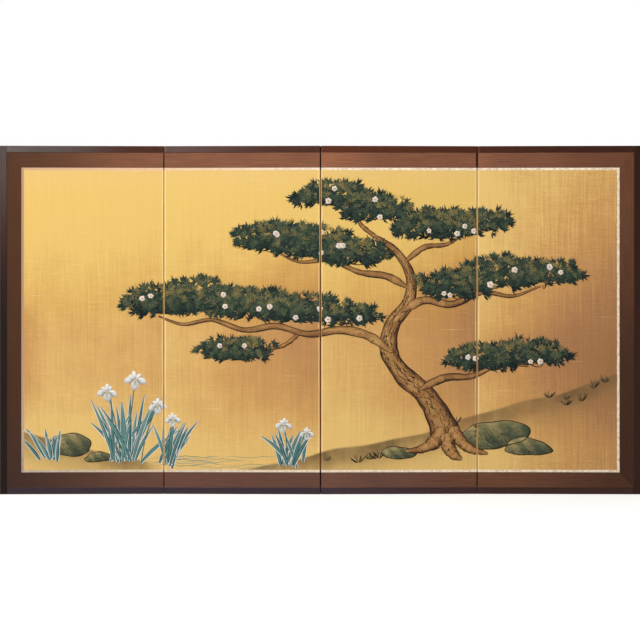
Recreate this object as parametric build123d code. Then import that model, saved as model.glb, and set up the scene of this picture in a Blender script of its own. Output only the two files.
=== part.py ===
from build123d import *
import os

os.makedirs("parts", exist_ok=True)

# A four-leaf byobu: a low folding screen whose leaves are silk over paper over a light wooden
# lattice, edged in lacquered wood and joined by paper hinges.
# X runs along the screen to the right, the picture faces -Y and Z is up.
# The origin is the middle of the foot of the standing screen. Lengths are in millimetres.

# The whole screen
panel_count = 4
screen_height = 914.0
leaf_width = 411.0  # from seam to seam
seam_gap = 2.0  # between the papered sides of two leaves that lie in one plane
rail_gap = 0.5  # between the ends of their rails, which stand a little proud of the paper
rest_fold = 6.0  # degrees between neighbouring leaves as the screen stands
fold_clearance = 0.15  # from a leaf's rails to the fold line, half the space between closed leaves

# Lacquered frame
frame_depth = 19.0
rail_height = 17.5
stile_width = 19.0
outer_round = 2.5  # the frame's long outer edges
inner_round = 1.2  # the frame's long inner edges
rail_end_chamfer = 0.6  # the rails' ends at the seams

# Faces of a leaf
face_recess = 1.5  # the silk lies this far behind the front of the frame
back_recess = 1.0
silk_thickness = 0.5
brocade_thickness = 0.8
back_cloth_thickness = 0.5
underpaper_thickness = 1.0
border_height = 40.0
border_side_width = 38.0
brocade_width = 6.5

# Lattice core
core_stile_width = 26.0
core_rail_height = 26.0
upright_count = 3
upright_width = 13.0
crossbar_count = 7
crossbar_height = 13.0
tenon_length = 7.0
tenon_thickness = 5.0
tenon_shoulder = 1.5
joint_fit = 0.1  # all round a tenon and on each side of a halving

# Square nails that hold the frame to the core
nail_side = 2.4
nail_in_frame = 9.0
nail_in_core = 16.0

# Paper hinges
hinge_thickness = 0.6
hinge_flap_width = 24.0
hinge_strip_count = 7
end_strip_height = 134.0
strip_spacing = 1.0  # between one strip and the next

# Depths, from the front of the frame to its back
front_plane = -frame_depth / 2
back_plane = frame_depth / 2
silk_front = front_plane + face_recess
silk_back = silk_front + silk_thickness
core_front = silk_back + underpaper_thickness
cloth_back = back_plane - back_recess
cloth_front = cloth_back - back_cloth_thickness
core_back = cloth_front - underpaper_thickness
core_middle = (core_front + core_back) / 2

# Heights, from the floor up
leaf_bottom = rail_height
leaf_top = screen_height - rail_height
border_bottom_edge = leaf_bottom + border_height
border_top_edge = leaf_top - border_height
picture_bottom = border_bottom_edge + brocade_width
picture_top = border_top_edge - brocade_width


def seam_x(seam):
    """Where a seam lies along the opened screen; seam 0 and the last one are its two ends."""
    return (seam - panel_count / 2) * leaf_width


def block(x, y, z):
    """A rectangular block, from a low and a high value along each axis."""
    size = (x[1] - x[0], y[1] - y[0], z[1] - z[0])
    return Pos(x[0], y[0], z[0]) * Box(*size, align=(Align.MIN, Align.MIN, Align.MIN))


def spread(low, high, count, width):
    """Middles of equally spaced bars of one width between two faces."""
    space = (high - low - count * width) / (count + 1)
    return [low + space * (i + 1) + width * (i + 0.5) for i in range(count)]


class Leaf:
    """One leaf of the screen, measured with the screen laid out in one plane."""

    def __init__(self, number):
        self.number = number
        self.is_first = number == 1
        self.is_last = number == panel_count
        self.left = seam_x(number - 1) + (0 if self.is_first else seam_gap / 2)
        self.right = seam_x(number) - (0 if self.is_last else seam_gap / 2)
        self.core_left = self.left + (0 if self.is_first else hinge_thickness)
        self.core_right = self.right - (0 if self.is_last else hinge_thickness)
        self.bar_left = self.core_left + core_stile_width
        self.bar_right = self.core_right - core_stile_width
        self.frame_left = seam_x(number - 1) + (-stile_width if self.is_first else rail_gap / 2)
        self.frame_right = seam_x(number) + (stile_width if self.is_last else -rail_gap / 2)
        side = border_side_width
        self.border_left_edge = self.left + (side if self.is_first else 0)
        self.border_right_edge = self.right - (side if self.is_last else 0)
        self.picture_left = self.border_left_edge + (brocade_width if self.is_first else 0)
        self.picture_right = self.border_right_edge - (brocade_width if self.is_last else 0)

    def hinged_sides(self):
        """The sides that meet a neighbour, each with its seam's number."""
        sides = []
        if not self.is_first:
            sides.append(("left", self.number - 1))
        if not self.is_last:
            sides.append(("right", self.number))
        return sides

    def side_layer(self, side):
        """The thin stretch of X that covers the core's edge on one side."""
        if side == "left":
            return (self.left, self.core_left)
        return (self.core_right, self.right)

    def flap(self, side):
        """The stretch of X under which a hinge strip is glued on one side."""
        if side == "left":
            return (self.core_left, self.core_left + hinge_flap_width)
        return (self.core_right - hinge_flap_width, self.core_right)


# ---- Lattice core: bars halved over each other, tenoned into a frame of stiles and rails

bar_bottom = leaf_bottom + core_rail_height
bar_top = leaf_top - core_rail_height
tenon_y = (core_middle - tenon_thickness / 2, core_middle + tenon_thickness / 2)
crossbar_heights = spread(bar_bottom, bar_top, crossbar_count, crossbar_height)


def grown(limits, fit):
    return (limits[0] - fit, limits[1] + fit)


def across_tenon(leaf, low, high, fit=0.0):
    """The tenons at both ends of a bar that runs across the leaf, as one long tongue."""
    x = (leaf.bar_left - tenon_length, leaf.bar_right + tenon_length)
    z = (low + tenon_shoulder, high - tenon_shoulder)
    return block(grown(x, fit), grown(tenon_y, fit), grown(z, fit))


def upright_tenon(middle, fit=0.0):
    """The tenons at both ends of an upright, as one long tongue."""
    half = upright_width / 2 - tenon_shoulder
    x = (middle - half, middle + half)
    z = (bar_bottom - tenon_length, bar_top + tenon_length)
    return block(grown(x, fit), grown(tenon_y, fit), grown(z, fit))


def upright_middles(leaf):
    return spread(leaf.bar_left, leaf.bar_right, upright_count, upright_width)


def core_rail_limits():
    return [(leaf_bottom, bar_bottom), (bar_top, leaf_top)]


def crossbar_limits():
    half = crossbar_height / 2
    return [(middle - half, middle + half) for middle in crossbar_heights]


def core_stiles(leaf):
    """Two full-height stiles with a mortise for every bar that runs across."""
    places = [(leaf.core_left, leaf.bar_left), (leaf.bar_right, leaf.core_right)]
    pair = [block(x, (core_front, core_back), (leaf_bottom, leaf_top)) for x in places]
    across = core_rail_limits() + crossbar_limits()
    mortises = [across_tenon(leaf, low, high, joint_fit) for low, high in across]
    return [stile - mortises - nail_shanks(leaf) for stile in pair]


def core_rails(leaf):
    """The core's top and bottom rails, tenoned into the stiles and mortised for the uprights."""
    mortises = [upright_tenon(middle, joint_fit) for middle in upright_middles(leaf)]
    rails = []
    for low, high in core_rail_limits():
        rail = block((leaf.bar_left, leaf.bar_right), (core_front, core_back), (low, high))
        rail += across_tenon(leaf, low, high)
        rails.append(rail - mortises - nail_shanks(leaf))
    return rails


def core_uprights(leaf):
    """Upright strips, cut away on their front half where the crossbars pass."""
    passing = [
        block(
            (leaf.bar_left, leaf.bar_right),
            (core_front, core_middle),
            grown(limits, joint_fit),
        )
        for limits in crossbar_limits()
    ]
    uprights = []
    for middle in upright_middles(leaf):
        x = (middle - upright_width / 2, middle + upright_width / 2)
        bar = block(x, (core_front, core_back), (bar_bottom, bar_top)) + upright_tenon(middle)
        uprights.append(bar - passing)
    return uprights


def core_crossbars(leaf):
    """Strips that run across, cut away on their back half where the uprights pass."""
    half = upright_width / 2
    passing = [
        block(
            grown((middle - half, middle + half), joint_fit),
            (core_middle, core_back),
            (bar_bottom, bar_top),
        )
        for middle in upright_middles(leaf)
    ]
    bars = []
    for low, high in crossbar_limits():
        bar = block((leaf.bar_left, leaf.bar_right), (core_front, core_back), (low, high))
        bars.append(bar + across_tenon(leaf, low, high) - passing)
    return bars


# ---- Nails through the core into the lacquered frame


def nail_shanks(leaf):
    """The leaf's nails: one per lattice cell above and below, every second cell at an end."""
    half = nail_side / 2
    y = (core_middle - half, core_middle + half)
    nails = []
    for x in spread(leaf.bar_left, leaf.bar_right, upright_count + 1, nail_side):
        for edge, inward in ((leaf_bottom, 1), (leaf_top, -1)):
            ends = sorted((edge - inward * nail_in_frame, edge + inward * nail_in_core))
            nails.append(block((x - half, x + half), y, ends))
    ends_with_stile = []
    if leaf.is_first:
        ends_with_stile.append((leaf.left, 1))
    if leaf.is_last:
        ends_with_stile.append((leaf.right, -1))
    gaps = spread(bar_bottom, bar_top, crossbar_count + 1, nail_side)
    for edge, inward in ends_with_stile:
        ends = sorted((edge - inward * nail_in_frame, edge + inward * nail_in_core))
        nails += [block(ends, y, (z - half, z + half)) for z in gaps[::2]]
    return nails


# ---- Lacquered frame: profiled bars, mitred where rail and stile meet


def frame_outline(leaf, upper):
    """A rail's outline from the front: square at a seam, mitred at an end of the screen."""
    outer = screen_height if upper else 0
    inner = leaf_top if upper else leaf_bottom
    points = [
        (leaf.frame_left, outer),
        (leaf.frame_right, outer),
        (leaf.right if leaf.is_last else leaf.frame_right, inner),
        (leaf.left if leaf.is_first else leaf.frame_left, inner),
    ]
    return extrude(Plane.XZ * Polygon(*points, align=None), frame_depth, both=True)


def frame_section(width):
    """Section of a frame bar: depth along X, width along Y, the outer edge at the low Y."""
    section = Rectangle(frame_depth, width)
    section = fillet(section.vertices().group_by(Axis.Y)[0], outer_round)
    return fillet(section.vertices().group_by(Axis.Y)[-1], inner_round)


def rail(leaf, upper):
    """A lacquered rail along the top or the bottom of one leaf."""
    section = frame_section(rail_height)
    if upper:
        section = mirror(section, about=Plane.XZ)
    middle = (screen_height + leaf_top) / 2 if upper else rail_height / 2
    start = Plane(origin=(leaf.frame_left, 0, middle), x_dir=(0, 1, 0), z_dir=(1, 0, 0))
    bar = extrude(start * section, leaf.frame_right - leaf.frame_left)
    bar = bar & frame_outline(leaf, upper)
    seam_ends = bar.faces().filter_by(Axis.X)
    bar = chamfer(seam_ends.edges(), rail_end_chamfer)
    return [bar - nail_shanks(leaf)]


def outer_stile(leaf):
    """The lacquered stile at one end of the screen, mitred into both rails."""
    leftward = -1 if leaf.is_first else 1
    inner = leaf.left if leaf.is_first else leaf.right
    outer = inner + leftward * stile_width
    section = frame_section(stile_width)
    start = Plane(
        origin=((inner + outer) / 2, 0, 0),
        x_dir=(0, leftward, 0),
        z_dir=(0, 0, 1),
    )
    bar = extrude(start * section, screen_height)
    points = [(outer, 0), (outer, screen_height), (inner, leaf_top), (inner, leaf_bottom)]
    outline = extrude(Plane.XZ * Polygon(*points, align=None), frame_depth, both=True)
    return [bar & outline - nail_shanks(leaf)]


# ---- Paper hinges: strips that cross the seam in turn from front to back and from back to front


def strip_limits():
    """Heights of the hinge strips from rail to rail, top down, with longer ones at the two ends."""
    inner_count = hinge_strip_count - 2
    inner_height = (leaf_top - leaf_bottom - 2 * end_strip_height) / inner_count
    heights = [end_strip_height] + [inner_height] * inner_count + [end_strip_height]
    limits = []
    top = leaf_top
    for height in heights:
        limits.append((top - height + strip_spacing / 2, top - strip_spacing / 2))
        top -= height
    return limits


def folds_at_front(seam):
    """Odd seams close with the picture inside, so their fold line is in front."""
    return seam % 2 == 1


def glued_to_front(side, strip):
    """Even strips run from the left leaf's front to the right leaf's back, odd ones reversed."""
    return (side == "right") == (strip % 2 == 0)


def lines_side(seam, side, strip):
    """A strip lines the leaf's side where it is glued to the face away from the fold line."""
    return glued_to_front(side, strip) != folds_at_front(seam)


def strip_flap(leaf, side, strip, limits):
    """The glued flap of one strip, let into the underpaper."""
    if glued_to_front(side, strip):
        y = (silk_back, silk_back + hinge_thickness)
    else:
        y = (cloth_front - hinge_thickness, cloth_front)
    return block(leaf.flap(side), y, limits)


def hinge_strips(leaf, side, seam):
    """The strips of one seam as far as this leaf carries them."""
    strips = []
    for strip, limits in enumerate(strip_limits()):
        paper = strip_flap(leaf, side, strip, limits)
        if lines_side(seam, side, strip):
            paper += block(leaf.side_layer(side), (silk_back, cloth_front), limits)
        strips.append(paper)
    return strips


def silk_turns(leaf):
    """Where the picture silk is turned over the leaf's side, between the hinge strips."""
    turns = []
    for side, seam in leaf.hinged_sides():
        for strip, (low, high) in enumerate(strip_limits()):
            if not lines_side(seam, side, strip):
                limits = (max(low, picture_bottom), min(high, picture_top))
                turns.append(block(leaf.side_layer(side), (silk_front, cloth_front), limits))
    return turns


# ---- Coverings


def underpaper(leaf):
    """The layered paper on both faces of the core, cut back where hinge strips are let in."""
    flaps = []
    for side, seam in leaf.hinged_sides():
        flaps += [strip_flap(leaf, side, k, limits) for k, limits in enumerate(strip_limits())]
    sheets = []
    for y in ((silk_back, core_front), (core_back, cloth_front)):
        sheet = block((leaf.core_left, leaf.core_right), y, (leaf_bottom, leaf_top))
        sheets.append(sheet - flaps)
    return sheets


def picture(leaf):
    """The picture silk, turned over the leaf's sides between the hinge strips."""
    x = (leaf.picture_left, leaf.picture_right)
    sheet = block(x, (silk_front, silk_back), (picture_bottom, picture_top))
    return [sheet + silk_turns(leaf)]


def band(leaf, outer_edges, inner_edges, depth):
    """Lengths of silk round the picture: above, below, and mitred to one at a screen end.

    Edges are given as left, right, bottom and top. At a seam the lengths end square, and are
    turned over the leaf's side unless a hinge strip lines it.
    """
    left, right, bottom, top = outer_edges
    inner_left, inner_right, inner_bottom, inner_top = inner_edges
    outlines = [
        [(left, top), (right, top), (inner_right, inner_top), (inner_left, inner_top)],
        [(left, bottom), (right, bottom), (inner_right, inner_bottom), (inner_left, inner_bottom)],
    ]
    if leaf.is_first:
        outlines.append(
            [(left, top), (inner_left, inner_top), (inner_left, inner_bottom), (left, bottom)]
        )
    if leaf.is_last:
        outlines.append(
            [(right, top), (inner_right, inner_top), (inner_right, inner_bottom), (right, bottom)]
        )
    face = Plane.XZ.offset(-silk_back)
    lengths = [
        extrude(face * Polygon(*points, align=None), depth, dir=(0, -1, 0)) for points in outlines
    ]
    end_strips = ((0, inner_top, top), (hinge_strip_count - 1, bottom, inner_bottom))
    for index, (strip, low, high) in enumerate(end_strips):
        for side, seam in leaf.hinged_sides():
            if not lines_side(seam, side, strip):
                limits = (low, high)
                lengths[index] += block(leaf.side_layer(side), (silk_back, cloth_front), limits)
    return lengths


def border(leaf):
    """The plain silk border."""
    outer = (leaf.left, leaf.right, leaf_bottom, leaf_top)
    inner = (
        leaf.border_left_edge,
        leaf.border_right_edge,
        border_bottom_edge,
        border_top_edge,
    )
    return band(leaf, outer, inner, silk_thickness)


def brocade(leaf):
    """The narrow brocade strip, a little thicker, between the border and the picture."""
    outer = (
        leaf.border_left_edge,
        leaf.border_right_edge,
        border_bottom_edge,
        border_top_edge,
    )
    inner = (leaf.picture_left, leaf.picture_right, picture_bottom, picture_top)
    return band(leaf, outer, inner, brocade_thickness)


def back_cloth(leaf):
    """The plain cloth on the back of the leaf."""
    y = (cloth_front, cloth_back)
    return [block((leaf.left, leaf.right), y, (leaf_bottom, leaf_top))]


# ---- The standing screen: leaves turned in a shallow zigzag about their fold lines


def fold_line(seam):
    """A point on a seam's fold line, with the screen laid out in one plane."""
    front = front_plane - fold_clearance
    back = back_plane + fold_clearance
    return Pos(seam_x(seam), front if folds_at_front(seam) else back, 0)


def leaf_turn(number):
    """How far a leaf is turned about Z as the screen stands."""
    return rest_fold / 2 if number % 2 == 1 else -rest_fold / 2


def leaf_places():
    """Each leaf's place, carried on from leaf to leaf about the fold lines."""
    place = Rot(0, 0, leaf_turn(1))
    places = {1: place}
    for seam in range(1, panel_count):
        line = fold_line(seam)
        place = place * line * Rot(0, 0, leaf_turn(seam + 1) - leaf_turn(seam)) * line.inverse()
        places[seam + 1] = place
    return places


leaves = [Leaf(number) for number in range(1, panel_count + 1)]
nodes = {}
for leaf in leaves:
    name = f"panel_{leaf.number}"
    nodes[f"{name}_core_stiles"] = (leaf, core_stiles(leaf))
    nodes[f"{name}_core_rails"] = (leaf, core_rails(leaf))
    nodes[f"{name}_core_uprights"] = (leaf, core_uprights(leaf))
    nodes[f"{name}_core_crossbars"] = (leaf, core_crossbars(leaf))
    nodes[f"{name}_nails"] = (leaf, nail_shanks(leaf))
    nodes[f"{name}_underpaper"] = (leaf, underpaper(leaf))
    nodes[f"{name}_picture_silk"] = (leaf, picture(leaf))
    nodes[f"{name}_border_silk"] = (leaf, border(leaf))
    nodes[f"{name}_brocade_strip"] = (leaf, brocade(leaf))
    nodes[f"{name}_back_cloth"] = (leaf, back_cloth(leaf))
    nodes[f"{name}_top_rail"] = (leaf, rail(leaf, upper=True))
    nodes[f"{name}_bottom_rail"] = (leaf, rail(leaf, upper=False))
    if leaf.is_first or leaf.is_last:
        nodes[f"{name}_outer_stile"] = (leaf, outer_stile(leaf))
    for side, seam in leaf.hinged_sides():
        hinge = f"seam_{seam}_{'right' if side == 'left' else 'left'}_hinge_strips"
        nodes[hinge] = (leaf, hinge_strips(leaf, side, seam))

places = leaf_places()
standing = {
    name: places[leaf.number] * Compound(solids)
    for name, (leaf, solids) in nodes.items()
}
box = Compound(list(standing.values())).bounding_box()
to_origin = Pos(-box.center().X, -box.center().Y, -box.min.Z)
for name, shape in standing.items():
    export_step(to_origin * shape, f"parts/{name}.step")
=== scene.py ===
import collections
import math

import bpy
import numpy as np
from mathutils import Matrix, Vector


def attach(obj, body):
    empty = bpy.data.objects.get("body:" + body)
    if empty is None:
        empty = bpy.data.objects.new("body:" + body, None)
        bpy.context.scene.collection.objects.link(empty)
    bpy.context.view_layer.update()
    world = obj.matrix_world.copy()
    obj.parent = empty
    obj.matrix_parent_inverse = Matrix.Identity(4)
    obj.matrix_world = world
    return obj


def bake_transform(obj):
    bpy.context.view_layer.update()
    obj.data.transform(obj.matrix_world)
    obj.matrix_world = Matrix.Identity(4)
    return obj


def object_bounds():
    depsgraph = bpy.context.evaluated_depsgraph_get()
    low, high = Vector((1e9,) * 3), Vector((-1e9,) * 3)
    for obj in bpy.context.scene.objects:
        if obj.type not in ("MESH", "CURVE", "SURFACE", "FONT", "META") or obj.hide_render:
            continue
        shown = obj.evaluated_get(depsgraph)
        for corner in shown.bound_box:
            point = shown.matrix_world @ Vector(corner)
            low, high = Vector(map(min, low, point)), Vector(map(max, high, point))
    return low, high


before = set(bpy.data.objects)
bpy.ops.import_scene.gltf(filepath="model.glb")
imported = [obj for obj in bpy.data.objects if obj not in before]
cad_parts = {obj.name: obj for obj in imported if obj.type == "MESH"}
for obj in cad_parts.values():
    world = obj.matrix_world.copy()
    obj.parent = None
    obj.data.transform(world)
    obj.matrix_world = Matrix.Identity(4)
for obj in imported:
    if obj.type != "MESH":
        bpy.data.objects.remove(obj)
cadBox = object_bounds()

# A four-leaf byobu, dressed: finishes for every carried-over node, the painting on the silk and
# the paper that crosses each fold. Metres; x runs to the right along the screen, the picture
# faces -y and z is up.

view = dict(
    distance=9.5,  # from the middle of the screen
    height=0.457,
    aside=-0.0012,
    widthSeen=1.6772,  # at the front of the rails
    sensor=36.0,
)
studio = dict(
    floorSize=26.0,
    floorColour="#c4c2bf",
    # how much the floor glows for the camera: beside the screen, where the lamps light it and its
    # shadow falls, and far off
    floorGlow=(0.62, 0.90),
    glowReach=(1.2, 4.0),
    glowNarrowing=0.6,  # below 1 the glow sets in further off to the sides than in front
    roomLight=0.18,
    roomColour="#f6f3ee",
    backOfRoom=(0.2, 0.6),  # where what is mirrored turns white
    # each lamp: name, place, size, power, the point it faces, tint, and whether it is mirrored
    lamps=[
        ("key", (-1.3, -2.4, 3.0), (1.6, 1.6), 94.0, (0, 0, 0.45), "#ffffff", True),
        ("fill", (2.2, -4.4, 1.6), (2.6, 2.6), 34.0, (0, 0, 0.45), "#ffffff", False),
        ("window", (-0.98, -3.2, 1.12), (0.56, 0.46), 7.2, (-0.8, 0, 0.8), "#ffffff", True),
        ("low", (-0.1, -1.7, 0.10), (2.6, 0.15), 4.0, (-0.1, 0, 0.2), "#dfe8ff", False),
        ("back", (0.6, 4.0, 2.2), (2.5, 2.5), 120.0, (0, 0, 0.45), "#ffffff", True),
    ],
)
screen = dict(
    leaves=4,
    pitch=0.411447,  # from fold to fold
    middleSeam=2,  # the fold that opens at the back
    middleHeight=0.45,
    seamMargin=0.0011,  # bare silk left beside a fold
    edgeMargin=0.0020,  # and beside the brocade
)

leafNumbers = range(1, screen["leaves"] + 1)


def colour(code):
    # a screen colour such as #c8a060 as the linear numbers a shader takes
    parts = [int(code[i : i + 2], 16) / 255 for i in (1, 3, 5)]
    parts = [p / 12.92 if p <= 0.04045 else ((p + 0.055) / 1.055) ** 2.4 for p in parts]
    return (*parts, 1.0)


def byMaths(operation):
    # a method that adds one Math node
    return lambda wire, *others: wire.maths(operation, *others)


class Wire:
    # one output socket that takes part in ordinary sums; each operator adds a Math node
    def __init__(self, tree, socket):
        self.tree, self.socket = tree, socket

    def maths(self, operation, *others, clamp=False):
        settings = {"operation": operation, "use_clamp": clamp}
        return addNode(self.tree, "ShaderNodeMath", settings, dict(enumerate((self, *others))))

    __add__ = __radd__ = byMaths("ADD")
    __sub__ = byMaths("SUBTRACT")
    __mul__ = byMaths("MULTIPLY")
    __truediv__ = byMaths("DIVIDE")
    __pow__ = byMaths("POWER")
    __lt__ = byMaths("LESS_THAN")
    __gt__ = byMaths("GREATER_THAN")
    least = byMaths("MINIMUM")
    most = byMaths("MAXIMUM")
    modulo = byMaths("FLOORED_MODULO")
    size = byMaths("ABSOLUTE")
    sine = byMaths("SINE")

    def __rsub__(self, other):
        return self.maths("SUBTRACT").feed(0, other).feed(1, self)

    def feed(self, key, value):
        fill(self.tree, self.socket.node.inputs[key], value)
        return self

    def toNearest(self, first, pitch):
        # distance to the nearest of evenly spaced places
        return ((self - (first - pitch / 2)).modulo(pitch) - pitch / 2).size()

    def inside(self):
        # held between 0 and 1
        return self.maths("ADD", 0.0, clamp=True)

    def steps(self, low, high):
        # 0 below low, 1 above high and a smooth rise between them
        settings = {"interpolation_type": "SMOOTHSTEP"}
        values = {"Value": self, "From Min": low, "From Max": high}
        return addNode(self.tree, "ShaderNodeMapRange", settings, values)

    def falls(self, low, high):
        # 1 below low, 0 above high and a smooth fall between them
        return 1 - self.steps(low, high)

    def band(self, rise, fall):
        # 1 between a smooth rise and a smooth fall, 0 outside them
        return self.steps(*rise) * self.falls(*fall)

    def waves(self, rate):
        # a sine drawn in to between 0 and 1, by so many radians a metre
        return (self * rate).sine() * 0.5 + 0.5


def fill(tree, socket, value):
    # links a wire to a socket, or clears it and sets the socket's own value
    for link in list(socket.links):
        tree.links.remove(link)
    if isinstance(value, Wire):
        tree.links.new(value.socket, socket)
    else:
        socket.default_value = value


def addNode(tree, kind, settings=None, inputs=None, output=0):
    # any node: its settings first, then the values or wires of its sockets
    node = tree.nodes.new(kind)
    for name, value in (settings or {}).items():
        if name == "stops":
            setStops(node.color_ramp, value)
        else:
            setattr(node, name, value)
    for key, value in (inputs or {}).items():
        fill(tree, node.inputs[key], value)
    return Wire(tree, node.outputs[output])


def setStops(ramp, stops):
    while len(ramp.elements) < len(stops):
        ramp.elements.new(1.0)
    for element, (place, code) in zip(ramp.elements, stops):
        element.position = place
        element.color = colour(code)


def axes(tree, vector):
    # the x, y and z of a vector
    split = addNode(tree, "ShaderNodeSeparateXYZ", inputs={0: vector})
    return [Wire(tree, socket) for socket in split.socket.node.outputs]


class Finish:
    # one material: a Principled shader and helpers that add what feeds it
    def __init__(self, name, **fixed):
        self.material = bpy.data.materials.new(name)
        self.material.use_nodes = True
        self.tree = self.material.node_tree
        self.shader = self.tree.nodes["Principled BSDF"]
        self.set(**fixed)

    def set(self, **values):
        # values by socket name, with Base_Color for Base Color
        for key, value in values.items():
            fill(self.tree, self.shader.inputs[key.replace("_", " ")], value)

    def node(self, kind, settings=None, inputs=None, output=0):
        return addNode(self.tree, "ShaderNode" + kind, settings, inputs, output)

    def place(self):
        # x, y and z of the point on the object
        return axes(self.tree, self.node("TexCoord", output="Object"))

    def at(self, x, y, z):
        return self.node("CombineXYZ", inputs={0: x, 1: y, 2: z})

    def noise(self, spot, scale, detail=2.0, roughness=0.5, distortion=0.0):
        values = {"Vector": self.at(*spot), "Scale": scale, "Detail": detail}
        values.update({"Roughness": roughness, "Distortion": distortion})
        return self.node("TexNoise", inputs=values)

    def cells(self, spot, scale, randomness=1.0):
        # distance to the nearest point of a scattered grid
        values = {"Vector": self.at(*spot), "Scale": scale, "Randomness": randomness}
        return self.node("TexVoronoi", inputs=values)

    def ramp(self, value, stops):
        return self.node("ValToRGB", {"stops": stops}, {"Fac": value})

    def mix(self, share, first, second, blend="MIX"):
        # two colours, the second by its share
        settings = {"data_type": "RGBA", "blend_type": blend}
        return self.node("Mix", settings, {0: share, 6: asColour(first), 7: asColour(second)}, 2)

    def dim(self, base, factor):
        # a colour times a number, by Vector Math
        return self.node("VectorMath", {"operation": "SCALE"}, {0: base, "Scale": factor})

    def bump(self, height, strength, distance):
        values = {"Height": height, "Strength": strength, "Distance": distance}
        self.set(Normal=self.node("Bump", inputs=values))


def asColour(value):
    return colour(value) if isinstance(value, str) else value


def nodePoints(name):
    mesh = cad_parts[name].data
    points = np.zeros(len(mesh.vertices) * 3)
    mesh.vertices.foreach_get("co", points)
    return points.reshape(-1, 3)


class Leaf:
    # one leaf's plane as it stands: along it, out of its picture, and the reach of its silk
    def __init__(self, number):
        self.number = number
        self.body = f"panel_{number}"
        cloth = nodePoints(f"panel_{number}_back_cloth")
        flat = cloth[:, :2] - cloth[:, :2].mean(0)
        along = np.linalg.svd(flat, full_matrices=False)[2][0]
        along = along * np.sign(along[0])
        self.along = np.array([along[0], along[1], 0.0])
        self.outward = np.array([along[1], -along[0], 0.0])
        silk = nodePoints(f"panel_{number}_picture_silk")
        rail = nodePoints(f"panel_{number}_top_rail")
        self.railLeft, self.railRight = (rail @ self.along).min(), (rail @ self.along).max()
        self.front = (silk @ self.outward).max()
        self.proud = (rail @ self.outward).max() - self.front
        self.back = (cloth @ self.outward).min()
        self.left, self.right = (silk @ self.along).min(), (silk @ self.along).max()
        self.bottom, self.top = silk[:, 2].min(), silk[:, 2].max()
        self.isFirst = number == 1
        self.isLast = number == screen["leaves"]

    def spot(self, x, z, lift):
        # the point before the silk that lies at x across the screen and z up
        origin = self.outward * self.front
        reach = (x - origin[0] - self.outward[0] * lift) / self.along[0]
        flat = origin + reach[..., None] * self.along + lift[..., None] * self.outward
        flat[..., 2] = z
        return flat

    def beside(self, edge, depth, fromBack):
        # points on the leaf's side, at a depth behind its silk or before its back cloth
        out = self.back + depth if fromBack else self.front - depth
        points = edge * self.along + out[:, None] * self.outward
        return points + (0.0, 0.0, screen["middleHeight"])

    def limits(self):
        # the x between which this leaf is painted
        low = screen["edgeMargin" if self.isFirst else "seamMargin"]
        high = screen["edgeMargin" if self.isLast else "seamMargin"]
        ends = np.array([self.left + low, self.right - high])
        return (self.outward * self.front)[0] + ends * self.along[0]


def gridFaces(rows, columns):
    # quads of a sheet of rows by columns points, its underside and the rim between them
    number = np.arange(rows * columns).reshape(rows, columns)
    top = np.stack([number[:-1, :-1], number[1:, :-1], number[1:, 1:], number[:-1, 1:]], -1)
    top = top.reshape(-1, 4) + rows * columns
    under = top[:, ::-1] - rows * columns
    rim = np.concatenate([number[0, ::-1], number[1:, 0], number[-1, 1:], number[-2:0:-1, -1]])
    after = np.roll(rim, -1)
    walls = np.stack([after, rim, rim + rows * columns, after + rows * columns], 1)
    return [np.concatenate([top, under, walls])]


def putObject(name, data):
    # an object of this data, in the scene
    thing = bpy.data.objects.new(name, data)
    bpy.context.collection.objects.link(thing)
    return thing


def putMesh(name, points, faceSets, spots=None):
    # a mesh from arrays: points, sets of faces with equally many corners, and map places by point
    mesh = bpy.data.meshes.new(name)
    corners = np.concatenate([faces.ravel() for faces in faceSets]).astype(np.int32)
    sizes = np.concatenate([np.full(len(faces), faces.shape[1]) for faces in faceSets])
    mesh.vertices.add(len(points))
    mesh.vertices.foreach_set("co", points.astype(np.float32).ravel())
    mesh.loops.add(len(corners))
    mesh.loops.foreach_set("vertex_index", corners)
    mesh.polygons.add(len(sizes))
    mesh.polygons.foreach_set("loop_start", (np.cumsum(sizes) - sizes).astype(np.int32))
    mesh.update(calc_edges=True)
    if spots is not None:
        layer = mesh.uv_layers.new(name="OFBake")
        layer.uv.foreach_set("vector", spots[corners].astype(np.float32).ravel())
    return putObject(name, mesh)


leafPlaces = {n: Leaf(n) for n in leafNumbers}
pictureLeft = leafPlaces[1].limits()[0]
pictureRight = leafPlaces[screen["leaves"]].limits()[1]
pictureBottom, pictureTop = leafPlaces[1].bottom, leafPlaces[1].top
print("leaves placed", [round(float(leafPlaces[n].left), 4) for n in leafNumbers])


def addCamera():
    data = bpy.data.cameras.new("camera")
    data.sensor_width = view["sensor"]
    nearest = view["distance"] + cadBox[0][1]
    data.lens = view["sensor"] * nearest / view["widthSeen"]
    data.clip_end = 100
    camera = putObject("camera", data)
    camera.location = (view["aside"], -view["distance"], view["height"])
    camera.rotation_euler = (math.radians(90), 0, 0)
    bpy.context.scene.camera = camera


def addSoftbox(name, place, size, power, target, tint, mirrored):
    data = bpy.data.lights.new(name, "AREA")
    data.shape = "RECTANGLE"
    data.size, data.size_y = size
    data.energy = power
    data.color = colour(tint)[:3]
    lamp = putObject(name, data)
    lamp.visible_glossy = mirrored
    lamp.location = place
    across, deep, up = np.array(target) - np.array(place)
    tilt, turn = math.atan2(math.hypot(across, deep), -up), math.atan2(deep, across)
    lamp.rotation_euler = (tilt, 0, turn - math.pi / 2)


def lightRays(tree, names):
    # 1 for a ray of any of these kinds
    rays = [addNode(tree, "ShaderNodeLightPath", output=name) for name in names]
    total = rays[0]
    for ray in rays[1:]:
        total = total.most(ray)
    return total


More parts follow.
